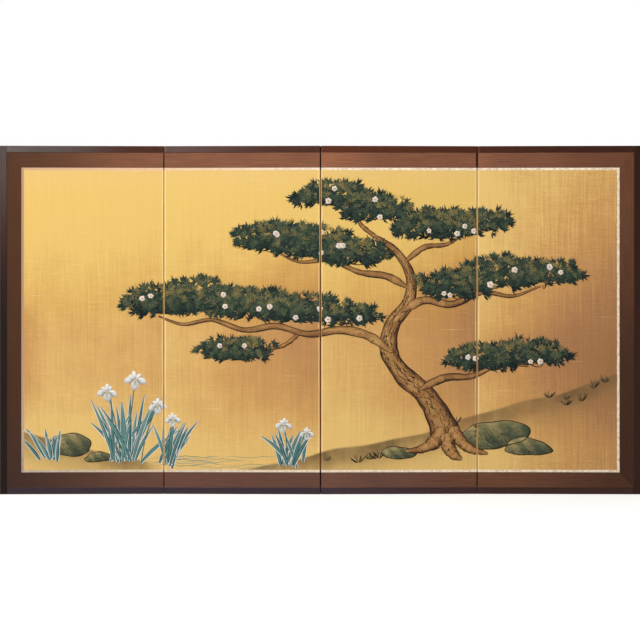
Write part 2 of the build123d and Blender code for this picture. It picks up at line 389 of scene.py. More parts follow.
def addRoom():
    # the room is a plain pale grey; what is seen behind the screen is white
    world = bpy.data.worlds.new("room")
    bpy.context.scene.world = world
    world.use_nodes = True
    tree = world.node_tree
    backdrop = tree.nodes["Background"]
    seen = lightRays(tree, ["Is Camera Ray"])
    mirrored = lightRays(tree, ["Is Glossy Ray", "Is Transmission Ray"])
    way = axes(tree, addNode(tree, "ShaderNodeTexCoord", output="Generated"))
    white = seen.most(mirrored * way[1].steps(*studio["backOfRoom"]))
    share = {"data_type": "RGBA"}
    tint = addNode(tree, "ShaderNodeMix", share, {0: white, 6: colour(studio["roomColour"])}, 2)
    tint.feed(7, (1, 1, 1, 1))
    fill(tree, backdrop.inputs["Color"], tint)
    fill(tree, backdrop.inputs["Strength"], white * (1 - studio["roomLight"]) + studio["roomLight"])


def addFloor():
    # a square sheet; for the camera it also glows, so that it is white outside the shadow:
    # the glow rises by a smooth step of the distance from the screen
    half = studio["floorSize"] / 2
    corners = [(-half, -half, 0), (half, -half, 0), (half, half, 0), (-half, half, 0)]
    mesh = bpy.data.meshes.new("floor")
    mesh.from_pydata(corners, [], [(0, 1, 2, 3)])
    floor = putObject("floor", mesh)
    paper = Finish("floor paper", Roughness=0.95, Base_Color=colour(studio["floorColour"]))
    paper.set(Specular_IOR_Level=0.0)
    seen = lightRays(paper.tree, ["Is Camera Ray", "Is Glossy Ray", "Is Transmission Ray"])
    x, y, z = paper.place()
    far = ((x * x * studio["glowNarrowing"] + y * y) ** 0.5).steps(*studio["glowReach"])
    beside, beyond = studio["floorGlow"]
    strength = seen * (far * (beyond - beside) + beside)
    glow = paper.node("Emission", inputs={"Strength": strength})
    both = paper.node("AddShader", inputs={1: glow})
    paper.tree.links.new(paper.shader.outputs[0], both.socket.node.inputs[0])
    fill(paper.tree, paper.tree.nodes["Material Output"].inputs["Surface"], both)
    mesh.materials.append(paper.material)


addCamera()
addRoom()
addFloor()
for lamp in studio["lamps"]:
    addSoftbox(*lamp)
bpy.context.scene.view_settings.view_transform = "Standard"
print("camera, floor and light are in place")


def nearFold(x):
    # distance to the nearest fold; and 1 as far out as the outer leaves' middles, 0 beyond them
    return x.toNearest(0.0, screen["pitch"]), x.size().falls(0.60, 0.61)


lacquer = dict(
    deep="#331608",
    body="#562914",
    finer=30,  # how much finer the brush streaks are across the wood than along it
    stileStarts=(0.8205, 0.8215),  # how far out
    lowRailEnds=(0.018, 0.019),  # how high
    low="#2c2531",  # the bottom rails: a painted cool reflection, and darker as painted shade
    lowRight="#38201a",
    lowPaler=0.4,  # how much paler the third leaf's bottom rail is, as painted light
    thirdLeafLit="#74391c",  # painted light: the third leaf's top rail, warmer and paler
    thirdLeafLitShare=0.36,
    thirdLeafStarts=(-0.02, 0.02),
    windowReflection="#56514e",  # painted window reflection on the first leaf's top rail and the top of its stile
    windowReflectionEnds=(-0.69, -0.48),
    windowReflectionShares=(0.62, 0.25),
    # painted shade: the stiles darker than the rails, the right one most
    stileShade=0.62,
    rightStileShade=0.48,
    stileFoot=0.46,  # how much darker the left stile is towards its foot, as painted shade
    wearAndHighlight="#74492f",
    wearWidth=0.0012,
    joint=(0.0008, 0.0018),  # from the fold to where the painted shade at the rails' ends stops
    rubbed=((0.0020, 0.0030), (0.0045, 0.0080)),  # and where the right-hand one carries a painted highlight
    roughness=0.40,
    coat=0.30,
    coatRoughness=0.18,
)


def lacquerFinish():
    # dark brown lacquer: brush streaks along the wood, thin and reddish where the long edges wear
    paint = Finish("brown lacquer", Coat_Roughness=lacquer["coatRoughness"], Coat_IOR=1.5)
    paint.set(Specular_IOR_Level=0.18)
    x, y, z = paint.place()
    isStile = x.size().steps(*lacquer["stileStarts"])
    finer = lacquer["finer"]
    spot = (x * (1 + isStile * finer), y * finer, z * (finer + 1 - isStile * finer))
    streak = paint.noise(spot, 9.0, 3.0)
    cloud = paint.noise((x, y, z), 5.0, 2.0)
    tone = (streak * 0.65 + cloud * 0.5 - 0.12).inside()
    tone = paint.mix(tone, lacquer["deep"], lacquer["body"])
    # painted cool reflection and shade on the bottom rails; painted light on the third leaf's
    isLow = z.falls(*lacquer["lowRailEnds"]) * (1 - isStile)
    isTop = (1 - isLow) * (1 - isStile)
    third = lacquer["thirdLeafStarts"]
    lowReflection = paint.mix(x.steps(-0.30, 0.80), lacquer["low"], lacquer["lowRight"])
    lowReflection = paint.dim(lowReflection, x.band(third, (0.10, 0.60)) * lacquer["lowPaler"] + 1)
    tone = paint.mix(isLow * (streak * 0.5 + 0.55).inside(), tone, lowReflection)
    # painted light on the third leaf's top rail
    thirdLeafLit = x.band(third, (0.0, 0.60)) * isTop * lacquer["thirdLeafLitShare"]
    tone = paint.mix(thirdLeafLit, tone, lacquer["thirdLeafLit"])
    # painted reflection of the window, greyish, on the first leaf's top rail and stile top
    onRail, onStile = lacquer["windowReflectionShares"]
    reflectionShare = x.falls(*lacquer["windowReflectionEnds"])
    reflectionShare = reflectionShare * (isTop * onRail + isStile * z.steps(0.70, 0.85) * onStile)
    tone = paint.mix(reflectionShare * (cloud * 0.8 + 0.55), tone, lacquer["windowReflection"])
    # painted shade: the stiles, the left one towards its foot, and the top rails towards the right
    leftFoot = z.falls(0.45, 0.75) * (x < 0)
    rightShade = (x > 0) * (lacquer["stileShade"] - lacquer["rightStileShade"])
    stileTone = lacquer["stileShade"] - leftFoot * lacquer["stileFoot"] - rightShade
    farRail = x.steps(0.35, 0.84) * isTop * 0.25
    tone = paint.dim(tone, (1 - isStile * (1 - stileTone)) * (1 - farRail))
    toFold, isInner = nearFold(x)
    # painted shade of the gap on the rails' ends beside the inner folds
    joint = toFold.falls(*lacquer["joint"]) * isInner * (isTop * 0.6 + (x > 0.3) * 0.25)
    tone = paint.dim(tone, 1 - joint)
    # a painted highlight on the top rail's end just right of each inner fold
    rubbed = x.modulo(screen["pitch"]).band(*lacquer["rubbed"]) * isInner * isTop
    tone = paint.mix(rubbed * 0.6, tone, lacquer["wearAndHighlight"])
    toTop = (cadBox[1][2] - z).least(z)
    toSide = cadBox[1][0] - x.size()
    rub = paint.noise((x * 3, y * 12, z * 3), 28.0, 3.0)
    edge = toTop.least(toSide + 0.0006).falls(0.0002, lacquer["wearWidth"])
    wear = (edge * (rub - 0.42) * 2.6).inside()
    paint.set(Base_Color=paint.mix(wear, tone, lacquer["wearAndHighlight"]))
    dust = paint.noise((x, y, z), 55.0, 4.0, 0.6)
    rough = dust * 0.16 + streak * 0.10 + wear * 0.25 + (lacquer["roughness"] - 0.13)
    paint.set(Roughness=(rough + toSide.falls(0.0, 0.005) * 0.4).inside())
    sheen = (lacquer["coat"] - wear * 0.3 - dust * 0.12).inside()
    sheen = sheen * (1 - x.steps(-0.05, 0.35) * 0.85) * (1 - isStile * leftFoot * 0.85)
    paint.set(Coat_Weight=sheen * toSide.steps(0.0, 0.004))
    paint.bump(streak * 0.7 + dust * 0.3, 0.10, 0.0006)
    return paint.material


silkBorder = dict(
    base="#835138",
    light="#9e6a4b",
    dark="#623725",
    threads=(1500.0, 1725.0),  # radians a metre, of the weft and of the warp
    high=(0.30, 0.72),  # where the upper part starts
    # darker and browner towards the two ends of the screen, and darker towards the floor: painted
    # shade
    leftShade=0.39,
    leftReach=0.46,
    rightShade=0.52,
    rightHigh=0.14,  # how much paler the right end is in its upper part
    rightReach=0.36,
    endTint="#7c4616",
    footShade=0.66,
    footTint="#785b57",  # greyer along the floor, up to the fourth leaf
    footShare=0.35,
    foldGlow=(0.22, 0.20),  # how much paler the top is just right of the last two folds, as painted light
    foldShadow=(0.0013, 0.0023),  # from a fold to where its painted shadow ends
    shadowSpread=0.0010,  # how far the last fold's painted shadow spreads to each side at its top
)


def mitreShare(x, z):
    # 1 on the upright lengths at the two ends of the screen, 0 on the lengths above and below
    border = nodePoints("panel_1_border_silk")
    low, high = border[:, 2].min(), border[:, 2].max()
    fromSide = abs(border[:, 0].min()) - x.size()
    fromEdge = (high - z).least(z - low)
    return (fromEdge - fromSide).steps(-0.0001, 0.0001)


def borderFinish():
    # plain-woven brown silk: fine threads, slubs along each length, turned at the mitres
    fixed = dict(Sheen_Weight=0.05, Sheen_Roughness=0.5, Specular_IOR_Level=0.20)
    silk = Finish("brown border silk", **fixed)
    x, y, z = silk.place()
    upright = mitreShare(x, z)
    across = z + upright * (x - z)
    along = x + upright * (z - x)
    slub = silk.noise((along * 11, across * 430, 0.0), 1.0, 4.0, 0.66)
    weft, warp = (way.waves(rate) for way, rate in zip((across, along), silkBorder["threads"]))
    cloud = silk.noise((x, y, z), 7.0, 3.0, 0.6)
    tone = silk.mix((slub * 2.6 - 0.80).inside(), silkBorder["dark"], silkBorder["light"])
    tone = silk.mix(0.40, tone, silkBorder["base"])
    age = cloud * 0.34 + 0.83
    weave = weft * 0.10 + warp * 0.05 + 0.92
    # painted shade: darker and browner towards both ends, most on the uprights, and towards the
    # floor
    fromLeft, fromRight = x - float(cadBox[0][0]), float(cadBox[1][0]) - x
    high = z.steps(*silkBorder["high"])
    left = 1 - fromLeft.falls(0.0, silkBorder["leftReach"]) * (1 - silkBorder["leftShade"])
    right = high * silkBorder["rightHigh"] + silkBorder["rightShade"]
    right = 1 - fromRight.falls(0.0, silkBorder["rightReach"]) * (1 - right)
    ends = left * right * (1 - upright * (x > 0) * (0.34 - high * 0.26))
    tone = silk.mix((1 - ends) * 0.7 + upright * (x < 0) * 0.25, tone, silkBorder["endTint"])
    atFoot = z.falls(0.04, 0.30) * x.falls(0.20, 0.40)
    tone = silk.mix(atFoot * silkBorder["footShare"], tone, silkBorder["footTint"])
    height = z.steps(0.0, 0.9) * (1 - silkBorder["footShade"]) + silkBorder["footShade"]
    # painted light: the third leaf is paler beside the middle fold, and the top just right of the
    # last two folds; every fold has a painted shadow, which spreads at the last one's top
    middleGlow, lastGlow = silkBorder["foldGlow"]
    pastLast = x - screen["pitch"]
    pale = (x > 0) * (0.20 - x.steps(0.0, 0.18) * 0.25) + 1
    pale = pale + (x > 0) * x.falls(0.0, 0.16) * high * middleGlow
    pale = pale + (pastLast > 0) * pastLast.falls(0.0, 0.06) * high * lastGlow
    toFold, isInner = nearFold(x)
    spreadsAtTop = (x > 0.3) * z.steps(0.80, 0.86)
    foldShadow = (toFold - spreadsAtTop * silkBorder["shadowSpread"]).falls(*silkBorder["foldShadow"])
    foldShadow = foldShadow * isInner * (spreadsAtTop * 0.17 + 0.8)
    silk.set(Base_Color=silk.dim(tone, age * weave * ends * height * pale * (1 - foldShadow)))
    silk.set(Roughness=slub * 0.18 + 0.50)
    silk.bump(slub * 0.7 + weft * 0.2 + warp * 0.1, 0.30, 0.0004)
    return silk.material


goldSilk = dict(
    # from the darkest gold to the palest; the tone that picks one carries painted shade and painted
    # sheen
    tones=[(0.10, "#9c6c3c"), (0.42, "#b37e4d"), (0.68, "#d49f59"), (0.90, "#efc675")],
    glint="#fbe6b4",
    foldHighlight="#ffdf9c",
    wash="#8a6b3e",
    washDeep="#4e3b20",
    # how much darker each leaf is at its right side, as painted shade, the first leaf less
    shadeAcross=0.62,
    shadeAcrossFirst=0.18,
    middleHeights=(0.42, 0.86),  # where the painted shade ends upwards
    farSide=(0.25, 0.80),  # darker towards the right end as painted shade, and coarser
    lastLeafGlow=0.11,  # a little painted sheen on the last leaf at its middle heights
    glowHeights=((0.40, 0.46), (0.58, 0.80)),
    yellow="#ffffe7",  # the first three leaves are yellower below their tops
    yellowShare=0.8,
    yellowHeights=((0.42, 0.50), (0.78, 0.86)),
    line=((0.0002, 0.0014), (0.0026, 0.0054)),  # the painted highlight beside a fold, from the leaf's side
    lineShares=(0.85, 0.5),  # right and left of a fold
)
banks = dict(
    # each bank: where its ridge starts, how far it reaches to the right, the power and height of
    # its rise, the height of its foot, how much of the wobble it has and where its wash sets in
    sides=[
        dict(start=-0.34, reach=1.12, power=1.45, rise=0.262, foot=0.060, wobbles=1.0, soft=0.12),
        dict(start=-0.40, reach=-0.40, power=0.8, rise=0.105, foot=0.062, wobbles=0.7, soft=0.08),
    ],
    waves=[(15, 1.0, 0.0055), (37, 0.4, 0.0022)],  # radians a metre, start and height
    depth=0.105,
    between=0.07,  # how high the ground is between the banks
)


def goldFinish(leaf):
    # gold-washed silk: slubs both ways, clouding, painted shade and sheen, a painted highlight
    # along each fold, and the banks
    fixed = dict(Sheen_Weight=0.06, Sheen_Roughness=0.4, Specular_IOR_Level=0.30)
    silk = Finish(f"gold silk {leaf.number}", **fixed)
    x, y, z = silk.place()
    slubAcross = silk.noise((x * 26, 0.3, z * 640), 1.0, 3.0, 0.62)
    slubUp = silk.noise((x * 640, 1.7, z * 8), 1.0, 3.0, 0.6)
    broadUp = silk.noise((x * 120, 3.1, z * 1.6), 1.0, 2.0, 0.5)
    cloud = silk.noise((x, y, z), 3.4, 4.0, 0.62)
    patch = silk.noise((x, y + 5.0, z), 14.0, 3.0, 0.6)
    acrossLeaf = (x - float(leaf.left)) / float(leaf.right - leaf.left)
    # painted shade along the middle heights and towards each leaf's right side, least on the first
    # leaf
    fromTop, fromFoot = z.falls(*goldSilk["middleHeights"]), z.steps(0.05, 0.34)
    slope = goldSilk["shadeAcrossFirst" if leaf.isFirst else "shadeAcross"]
    paintedShade = fromTop * (fromFoot * 0.8 + 0.20) * (acrossLeaf * slope + 0.36)
    # and darker towards the first leaf's left side below its middle
    if leaf.isFirst:
        paintedShade = paintedShade + z.falls(0.38, 0.64) * fromFoot * acrossLeaf.falls(0.0, 0.20) * 0.35
    farSide = x.steps(*goldSilk["farSide"])
    grain = silk.noise((x, y, z), 260.0, 2.0, 0.6)
    tone = 1.0 - paintedShade * 0.50 - farSide * 0.30 + (cloud - 0.5) * 0.30 + (patch - 0.5) * 0.16
    tone = tone + (grain - 0.5) * (farSide * 0.14 + 0.10)
    weave = (slubAcross - 0.5) * 0.22 + (slubUp - 0.5) * 0.40 + (broadUp - 0.5) * 0.12
    tone = tone + weave * (farSide * 0.6 + 0.55)
    # painted sheen on the last leaf at its middle heights
    if leaf.isLast:
        tone = tone + z.band(*goldSilk["glowHeights"]) * goldSilk["lastLeafGlow"]
    ground = silk.ramp(tone.inside(), goldSilk["tones"])
    if not leaf.isLast:
        yellow = z.band(*goldSilk["yellowHeights"]) * goldSilk["yellowShare"]
        ground = silk.mix(yellow, ground, goldSilk["yellow"], "MULTIPLY")
    stray = silk.noise((x * 9, 7.7, z * 330), 1.0, 1.0).steps(0.70, 0.76)
    ground = silk.mix(stray * (patch - 0.35).inside() * 1.2, ground, goldSilk["glint"])
    left, right = (float(end) for end in leaf.limits())
    # a painted highlight beside each fold, stronger on the leaf right of it
    afterFold, beforeFold = goldSilk["lineShares"]
    foldHighlights = []
    if not leaf.isFirst:
        foldHighlights.append(foldHighlight(x - left) * afterFold)
    if not leaf.isLast:
        foldHighlights.append(foldHighlight(right - x) * beforeFold)
    ground = silk.mix(foldHighlights[0].most(foldHighlights[-1]), ground, goldSilk["foldHighlight"])
    shade = paintedBanks(x, z, patch)
    ground = silk.mix(shade * 0.85, ground, goldSilk["wash"])
    ground = silk.mix((shade - 0.50).inside() * 1.3, ground, goldSilk["washDeep"])
    silk.set(Base_Color=silk.dim(ground, weave * 0.28 + 0.98))
    silk.set(Roughness=slubUp * 0.16 + slubAcross * 0.10 + 0.40)
    silk.bump(slubAcross * 0.5 + slubUp * 0.5, 0.22, 0.0005)
    return silk.material


def foldHighlight(inward):
    # 1 on the painted highlight that runs beside a fold
    return (inward + screen["seamMargin"]).band(*goldSilk["line"])


def wobble(x, sine):
    # the sum of two waves, for a wire or for numbers
    return sum(sine(x * rate + start) * height for rate, start, height in banks["waves"])


def paintedBanks(x, z, patch):
    # Brush wash below two ridges, strongest along the ridge and gone again about a hand below it.
    # A ridge is foot + rise * t ** power + wobble, where t is the share of its reach.
    waves = wobble(x, Wire.sine)
    washes = []
    for bank in banks["sides"]:
        share = (x - bank["start"]) / bank["reach"]
        ridge = share.most(0.0001) ** bank["power"] * bank["rise"] + bank["foot"]
        setsIn = (share * abs(bank["reach"])).steps(0.0, bank["soft"])
        washes.append(washUnder(ridge + waves * bank["wobbles"] - z, patch) * setsIn)
    return washes[0].most(washes[1]).inside()


def washUnder(depth, patch):
    # how strong a wash is at a depth below its ridge
    fade = depth.falls(0.004, banks["depth"])
    return depth.steps(-0.0015, 0.006) * (fade * 0.85 + 0.10) * (patch * 0.9 + 0.35)


brocadeStrip = dict(
    ground="#fff0d4",
    figure="#9a744f",
    thread="#dcb898",
    cellSize=0.0040,
    leftTint="#dfa070",  # towards the left it turns the colour of the gold
    uprightShade=0.70,  # and the left upright length is the darkest, as painted shade
    footShade=0.72,
)


def brocadeFinish():
    # cream brocade: a small repeating figure in a darker thread, with broken, glittering edges
    silk = Finish("cream brocade", Sheen_Weight=0.2, Sheen_Roughness=0.4)
    x, y, z = silk.place()
    scale = 1 / brocadeStrip["cellSize"]
    figure = silk.cells((x, 0.0, z), scale, 0.8).falls(0.20, 0.42)
    fleck = silk.noise((x, 0.0, z), 900.0, 3.0, 0.7)
    patches = silk.noise((x, 0.0, z), 105.0, 2.0)
    rubbed = x.steps(-0.5, 0.7) * 0.5 + 0.45
    share = patches.steps(0.38, 0.62) * rubbed * 0.6
    tone = silk.mix(share, brocadeStrip["ground"], brocadeStrip["thread"])
    figure = figure * (patches * 2.2 - 0.4).inside()
    share = (figure * fleck.steps(0.32, 0.5)).inside() * rubbed
    tone = silk.mix(share, tone, brocadeStrip["figure"])
    atLeft = x.falls(-0.75, 0.25)
    goldTint = atLeft * (1 - z.falls(0.05, 0.40) * 0.8) * 0.75
    tone = silk.mix(goldTint, tone, brocadeStrip["leftTint"])
    # painted shade: darker on the left upright, towards the left end and at the foot on the left
    isLeft = mitreShare(x, z) * (x < 0)
    brocadeShade = 1 - isLeft * (1 - brocadeStrip["uprightShade"])
    brocadeShade = brocadeShade * (x.steps(-0.80, -0.40) * 0.12 + 0.88)
    atFoot = z.falls(0.04, 0.20) * atLeft * (1 - brocadeStrip["footShade"])
    silk.set(Base_Color=silk.dim(tone, brocadeShade * (1 - atFoot)), Roughness=fleck * 0.3 + 0.35)
    silk.bump(figure * 0.6 + fleck * 0.4, 0.5, 0.0004)
    return silk.material


hingePaper = dict(
    pale="#cc8c46",
    deep="#98602c",
    # the middle fold's paper, paler than the rest and palest in its upper half: painted light
    middle="#e89c50",
    middleLitTop="#ffdc98",
    # near black beside the border: painted shade in the fold
    sidePale="#3a160a",
    sideDeep="#150703",
    backPale="#4f3c2a",
    backDeep="#33261b",
    reach=(0.003, 0.010),  # behind the silk, where the front's colour gives way to the back's
)


def hingeFibre(paper, x, y, z):
    # long fibres that lie upright
    return paper.noise((x * 260, y * 260, z * 34), 1.0, 4.0, 0.7, 0.6)


def hingeFinish():
    # mulberry paper with long fibres: gold-faced beside the picture, paler on the middle fold as
    # painted light, near black beside the border as painted shade and, in the two outer folds, dark
    # brown further in
    paper = Finish("hinge paper", Specular_IOR_Level=0.3)
    x, y, z = paper.place()
    leaf, isOuter = leafPlaces[1], x.size() > 0.2
    deep = (y - float(leaf.beside(leaf.right, np.zeros(1), False)[0, 1])) * isOuter
    fibre = hingeFibre(paper, x, y, z)
    cloud = paper.noise((x, y, z), 30.0, 3.0)
    tone = (fibre * 0.7 + cloud * 0.4).inside()
    gold, brown, dark = (
        paper.ramp(tone, [(0.3, hingePaper[low]), (0.7, hingePaper[high])])
        for low, high in (("deep", "pale"), ("sideDeep", "sidePale"), ("backDeep", "backPale"))
    )
    # painted light: the middle fold's paper paler, most in its upper half
    middle = paper.mix(z.steps(0.45, 0.62), hingePaper["middle"], hingePaper["middleLitTop"])
    gold = paper.mix((1 - isOuter) * 0.9, gold, middle)
    beside = z.steps(pictureBottom - 0.0003, pictureBottom + 0.0003)
    beside = beside - z.steps(pictureTop - 0.0003, pictureTop + 0.0003)
    face = paper.mix(beside, brown, gold)
    paper.set(Base_Color=paper.mix(deep.steps(*hingePaper["reach"]), face, dark))
    paper.set(Roughness=fibre * 0.2 + 0.55)
    paper.bump(fibre, 0.4, 0.0003)
    return paper.material


def liningFinish():
    # the same paper dyed dark: it lines the back of the middle fold
    paper = Finish("dark hinge paper", Specular_IOR_Level=0.2)
    fibre = hingeFibre(paper, *paper.place())
    dark = paper.ramp(fibre, [(0.3, hingePaper["backDeep"]), (0.7, hingePaper["backPale"])])
    paper.set(Base_Color=dark, Roughness=fibre * 0.2 + 0.6)
    paper.bump(fibre, 0.4, 0.0003)
    return paper.material


def underpaperFinish():
    # layered mulberry paper: pale, with tangled fibres and a few dark flecks of bark
    paper = Finish("mulberry underpaper", Specular_IOR_Level=0.2)
    x, y, z = paper.place()
    fibre = paper.noise((x, y, z), 140.0, 5.0, 0.75, 2.0)
    sheet = paper.noise((x, y, z), 6.0, 2.0)
    bark = paper.cells((x * 2.2, y, z), 95.0).falls(0.04, 0.10)
    tone = paper.ramp((fibre * 0.7 + sheet * 0.3).inside(), [(0.3, "#cdbf9f"), (0.7, "#efe6cf")])
    paper.set(Base_Color=paper.mix(bark * 0.5, tone, "#7b6244"), Roughness=fibre * 0.15 + 0.75)
    paper.bump(fibre, 0.35, 0.0004)
    return paper.material


backCloth = dict(
    base="#33362c",
    light="#474a39",
    threads=1250.0,  # radians a metre
    # the core's bars behind it: the first and the pitch, upwards and across a leaf
    across=(0.142, 0.105),
    upright=(0.0, 0.0923),
    rubbed="#5a5b48",
)


def backFinish():
    # dark dyed cotton: a plain weave, uneven dye and the ghost of the lattice behind it
    cloth = Finish("dark back cloth", Sheen_Weight=0.15, Specular_IOR_Level=0.2)
    x, y, z = cloth.place()
    warp, weft = (way.waves(backCloth["threads"]) for way in (x, z))
    slub = cloth.noise((x * 30, y, z * 480), 1.0, 3.0, 0.6)
    slubUp = cloth.noise((x * 480, y, z * 30), 1.0, 3.0, 0.6)
    cloud = cloth.noise((x, y, z), 4.0, 4.0, 0.6)
    tone = (slub * 0.5 + slubUp * 0.5 + cloud * 0.5 - 0.25).inside()
    base = cloth.mix(tone, backCloth["base"], backCloth["light"])
    onLeaf = x.modulo(screen["pitch"]) - screen["pitch"] / 2
    nearBar = z.toNearest(*backCloth["across"]).least(onLeaf.toNearest(*backCloth["upright"]))
    ghost = nearBar.falls(0.0045, 0.0095) * (slub * 0.4 + cloud * 0.9 - 0.25).inside()
    base = cloth.mix(ghost * 0.45, base, backCloth["rubbed"])
    cloth.set(Base_Color=cloth.dim(base, (warp + weft) * 0.10 + cloud * 0.40 + 0.66))
    cloth.set(Roughness=slub * 0.1 + 0.78)
    cloth.bump(warp * 0.25 + weft * 0.25 + slub * 0.3 + slubUp * 0.2, 0.35, 0.0005)
    return cloth.material


def cedarFinish(name, upright):
    # planed cedar: straight growth lines along the bar
    wood = Finish(name, Specular_IOR_Level=0.3)
    x, y, z = wood.place()
    spot = (x * 90, y * 90, z * 1.6) if upright else (x * 1.6, y * 90, z * 90)
    ring = wood.noise(spot, 1.6, 3.0, 0.55, 0.4)
    pore = wood.noise(spot, 9.0, 2.0)
    tone = (ring * 0.85 + pore * 0.25 - 0.05).inside()
    stops = [(0.28, "#9a6740"), (0.50, "#c4925f"), (0.72, "#dcb184")]
    wood.set(Base_Color=wood.ramp(tone, stops), Roughness=pore * 0.2 + 0.5)
    wood.bump(ring * 0.6 + pore * 0.4, 0.2, 0.0004)
    return wood.material


def ironFinish():
    # hand-cut nails: dull iron with brown scale
    iron = Finish("nail iron", Metallic=0.9)
    scale = iron.noise(iron.place(), 320.0, 4.0, 0.65)
    iron.set(Base_Color=iron.ramp(scale, [(0.40, "#3a3430"), (0.60, "#6b625a")]))
    iron.set(Roughness=scale * 0.4 + 0.35)
    iron.bump(scale, 0.4, 0.0003)
    return iron.material


def finishNodes():
    # each carried-over node takes the finish that its name ends with
    shared = {
        "rail": lacquerFinish(),
        "border_silk": borderFinish(),
        "brocade_strip": brocadeFinish(),
        "underpaper": underpaperFinish(),
        "back_cloth": backFinish(),
        "hinge_strips": hingeFinish(),
        "core_stiles": cedarFinish("cedar upright", True),
        "core_crossbars": cedarFinish("cedar across", False),
        "nails": ironFinish(),
    }
    shared["outer_stile"] = shared["rail"]
    shared["core_uprights"] = shared["core_stiles"]
    shared["core_rails"] = shared["core_crossbars"]
    order = sorted(shared, key=len, reverse=True)
    silks = {f"panel_{n}_picture_silk": goldFinish(leafPlaces[n]) for n in leafNumbers}
    for name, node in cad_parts.items():
        finish = silks.get(name) or shared[next(end for end in order if name.endswith(end))]
        for holder in node.material_slots:
            holder.material = finish
        if not node.material_slots:
            node.data.materials.append(finish)
    return shared


finishes = finishNodes()
print("finishes are on", len(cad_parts), "nodes")


hinge = dict(
    columns=13,
    thickness=0.0003,
    corner=0.0005,  # how far behind the silk, or before the cloth, a strip rounds a leaf's corner
    side=0.0034,  # and where it meets the side of the next leaf
    glued=0.0020,  # how far it runs along that side
    swingsOver=0.7,  # the share of its columns that the swing takes
    closer=0.00035,  # how much longer than the strips on the leaves, at each end
    held=0.2,  # the share of the gap, at each leaf, where a strip's bend would end; worked out but not used
    heldAtRails=0.05,
    bendDepth=0.002,  # behind the silk, or before the cloth, where that is measured
    railInset=0.0022,  # how far behind the front of the rails the last bit of paper stands
    railShort=0.001,  # and how far short of their top and foot it stops
    bedded=0.00005,
    liningBehind=0.00032,  # how far the dark sheet stands behind the strips of the middle fold
    liningAside=0.6,  # and its distance from the leaves' sides, as a share of a strip's
)


def stripEnds(seam):
    # the lowest and highest z of each strip of a seam, from the strips on the leaf to its left
    levels = np.unique(nodePoints(f"seam_{seam}_left_hinge_strips")[:, 2].round(5))
    return levels.reshape(-1, 2) + (-hinge["closer"], hinge["closer"])


def paperBetween(seam, ends, leansRight, reach, depth, edges):
    # A closed sheet that joins two leaves over the fold, from one z to the other: half its
    # thickness to both sides of a line that goes from edge to edge by share reach at a depth.
    left, right = leafPlaces[seam], leafPlaces[seam + 1]
    half = hinge["thickness"] / 2
    share, deep = (reach, depth) if leansRight else (1 - reach[::-1], depth[::-1])
    opensBack = seam == screen["middleSeam"]
    fromLeft = left.beside(edges[0], deep, opensBack)
    fromRight = right.beside(edges[1], deep, opensBack)
    middle = fromLeft + (fromRight - fromLeft) * share[:, None]
    way = np.gradient(middle, axis=0)
    aside = unit(np.stack([way[:, 1], -way[:, 0], way[:, 2]], 1))
    sheet = np.stack([middle - aside * half, middle + aside * half])[:, None]
    sheet = np.repeat(sheet, 2, axis=1)
    sheet[:, 0, :, 2], sheet[:, 1, :, 2] = ends[1], ends[0]
    return sheet


def unit(ways):
    # the same directions, each of length 1
    return ways / np.maximum(np.linalg.norm(ways, axis=-1, keepdims=True), 1e-9)


def addCrossings(seam, paper):
    # Where the paper strips cross the fold. Seen from above a strip rounds the corner of one leaf,
    # swings over by a smooth step and runs along the side of the other; strips lean to the two
    # sides in turn. The middle fold opens at the back and its strips cross there.
    left, right = leafPlaces[seam], leafPlaces[seam + 1]
    isMiddle = seam == screen["middleSeam"]
    ends = stripEnds(seam)
    over = hinge["swingsOver"]
    t = np.linspace(0, 1, hinge["columns"])
    swing = np.clip(t / over, 0, 1)
    swing = swing * swing * (3 - 2 * swing)
    depth = hinge["corner"] + (hinge["side"] - hinge["corner"]) * swing
    depth = depth + hinge["glued"] * np.clip((t - over) / (1 - over), 0, 1)
    half = hinge["thickness"] / 2
    sides = left.right, right.left

    def strips(depth, half):
        # a sheet for every strip, at these depths and so far from the leaves' sides
        edges = sides[0] + half, sides[1] - half
        leans = [(strip % 2 == 0) != isMiddle for strip in range(len(ends))]
        return [paperBetween(seam, *pair, swing, depth, edges) for pair in zip(ends, leans)]

    putPaper(f"seam_{seam}_hinge_crossings", seam, strips(depth, half), sides, hinge["held"], paper)
    if isMiddle:
        sheets = strips(depth - hinge["liningBehind"], hinge["liningAside"] * half)
        lining = liningFinish()
        putPaper(f"seam_{seam}_hinge_lining", seam, sheets, sides, hinge["held"], lining)
    straight = t, np.full(len(t), hinge["railInset"] - left.proud)
    rails = left.railRight, right.railLeft
    edges = (rails[0] - hinge["bedded"], rails[1] + hinge["bedded"])
    low, high = cadBox[0][2] + hinge["railShort"], cadBox[1][2] - hinge["railShort"]
    outer = ((low, ends[0][0]), (ends[-1][1], high))
    sheets = [paperBetween(seam, pair, True, *straight, edges) for pair in outer]
    putPaper(f"seam_{seam}_hinge_ends", seam, sheets, rails, hinge["heldAtRails"], paper)


def putPaper(name, seam, sheets, edges, inset, paper):
    # one piece of several such sheets; the ends of a bend between the leaves are worked out but
    # unused
    left, right = leafPlaces[seam], leafPlaces[seam + 1]
    faces = gridFaces(2, hinge["columns"])[0]
    first = np.arange(len(sheets)) * 4 * hinge["columns"]
    faces = (faces[None] + first[:, None, None]).reshape(-1, 4)
    piece = putMesh(name, np.array(sheets).reshape(-1, 3), [faces])
    piece.data.materials.append(paper)
    deep = np.array([hinge["bendDepth"]])
    opensBack = seam == screen["middleSeam"]
    fromLeft = left.beside(edges[0], deep, opensBack)[0]
    fromRight = right.beside(edges[1], deep, opensBack)[0]
    start = fromLeft + (fromRight - fromLeft) * inset
    end = fromRight + (fromLeft - fromRight) * inset
    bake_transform(piece)


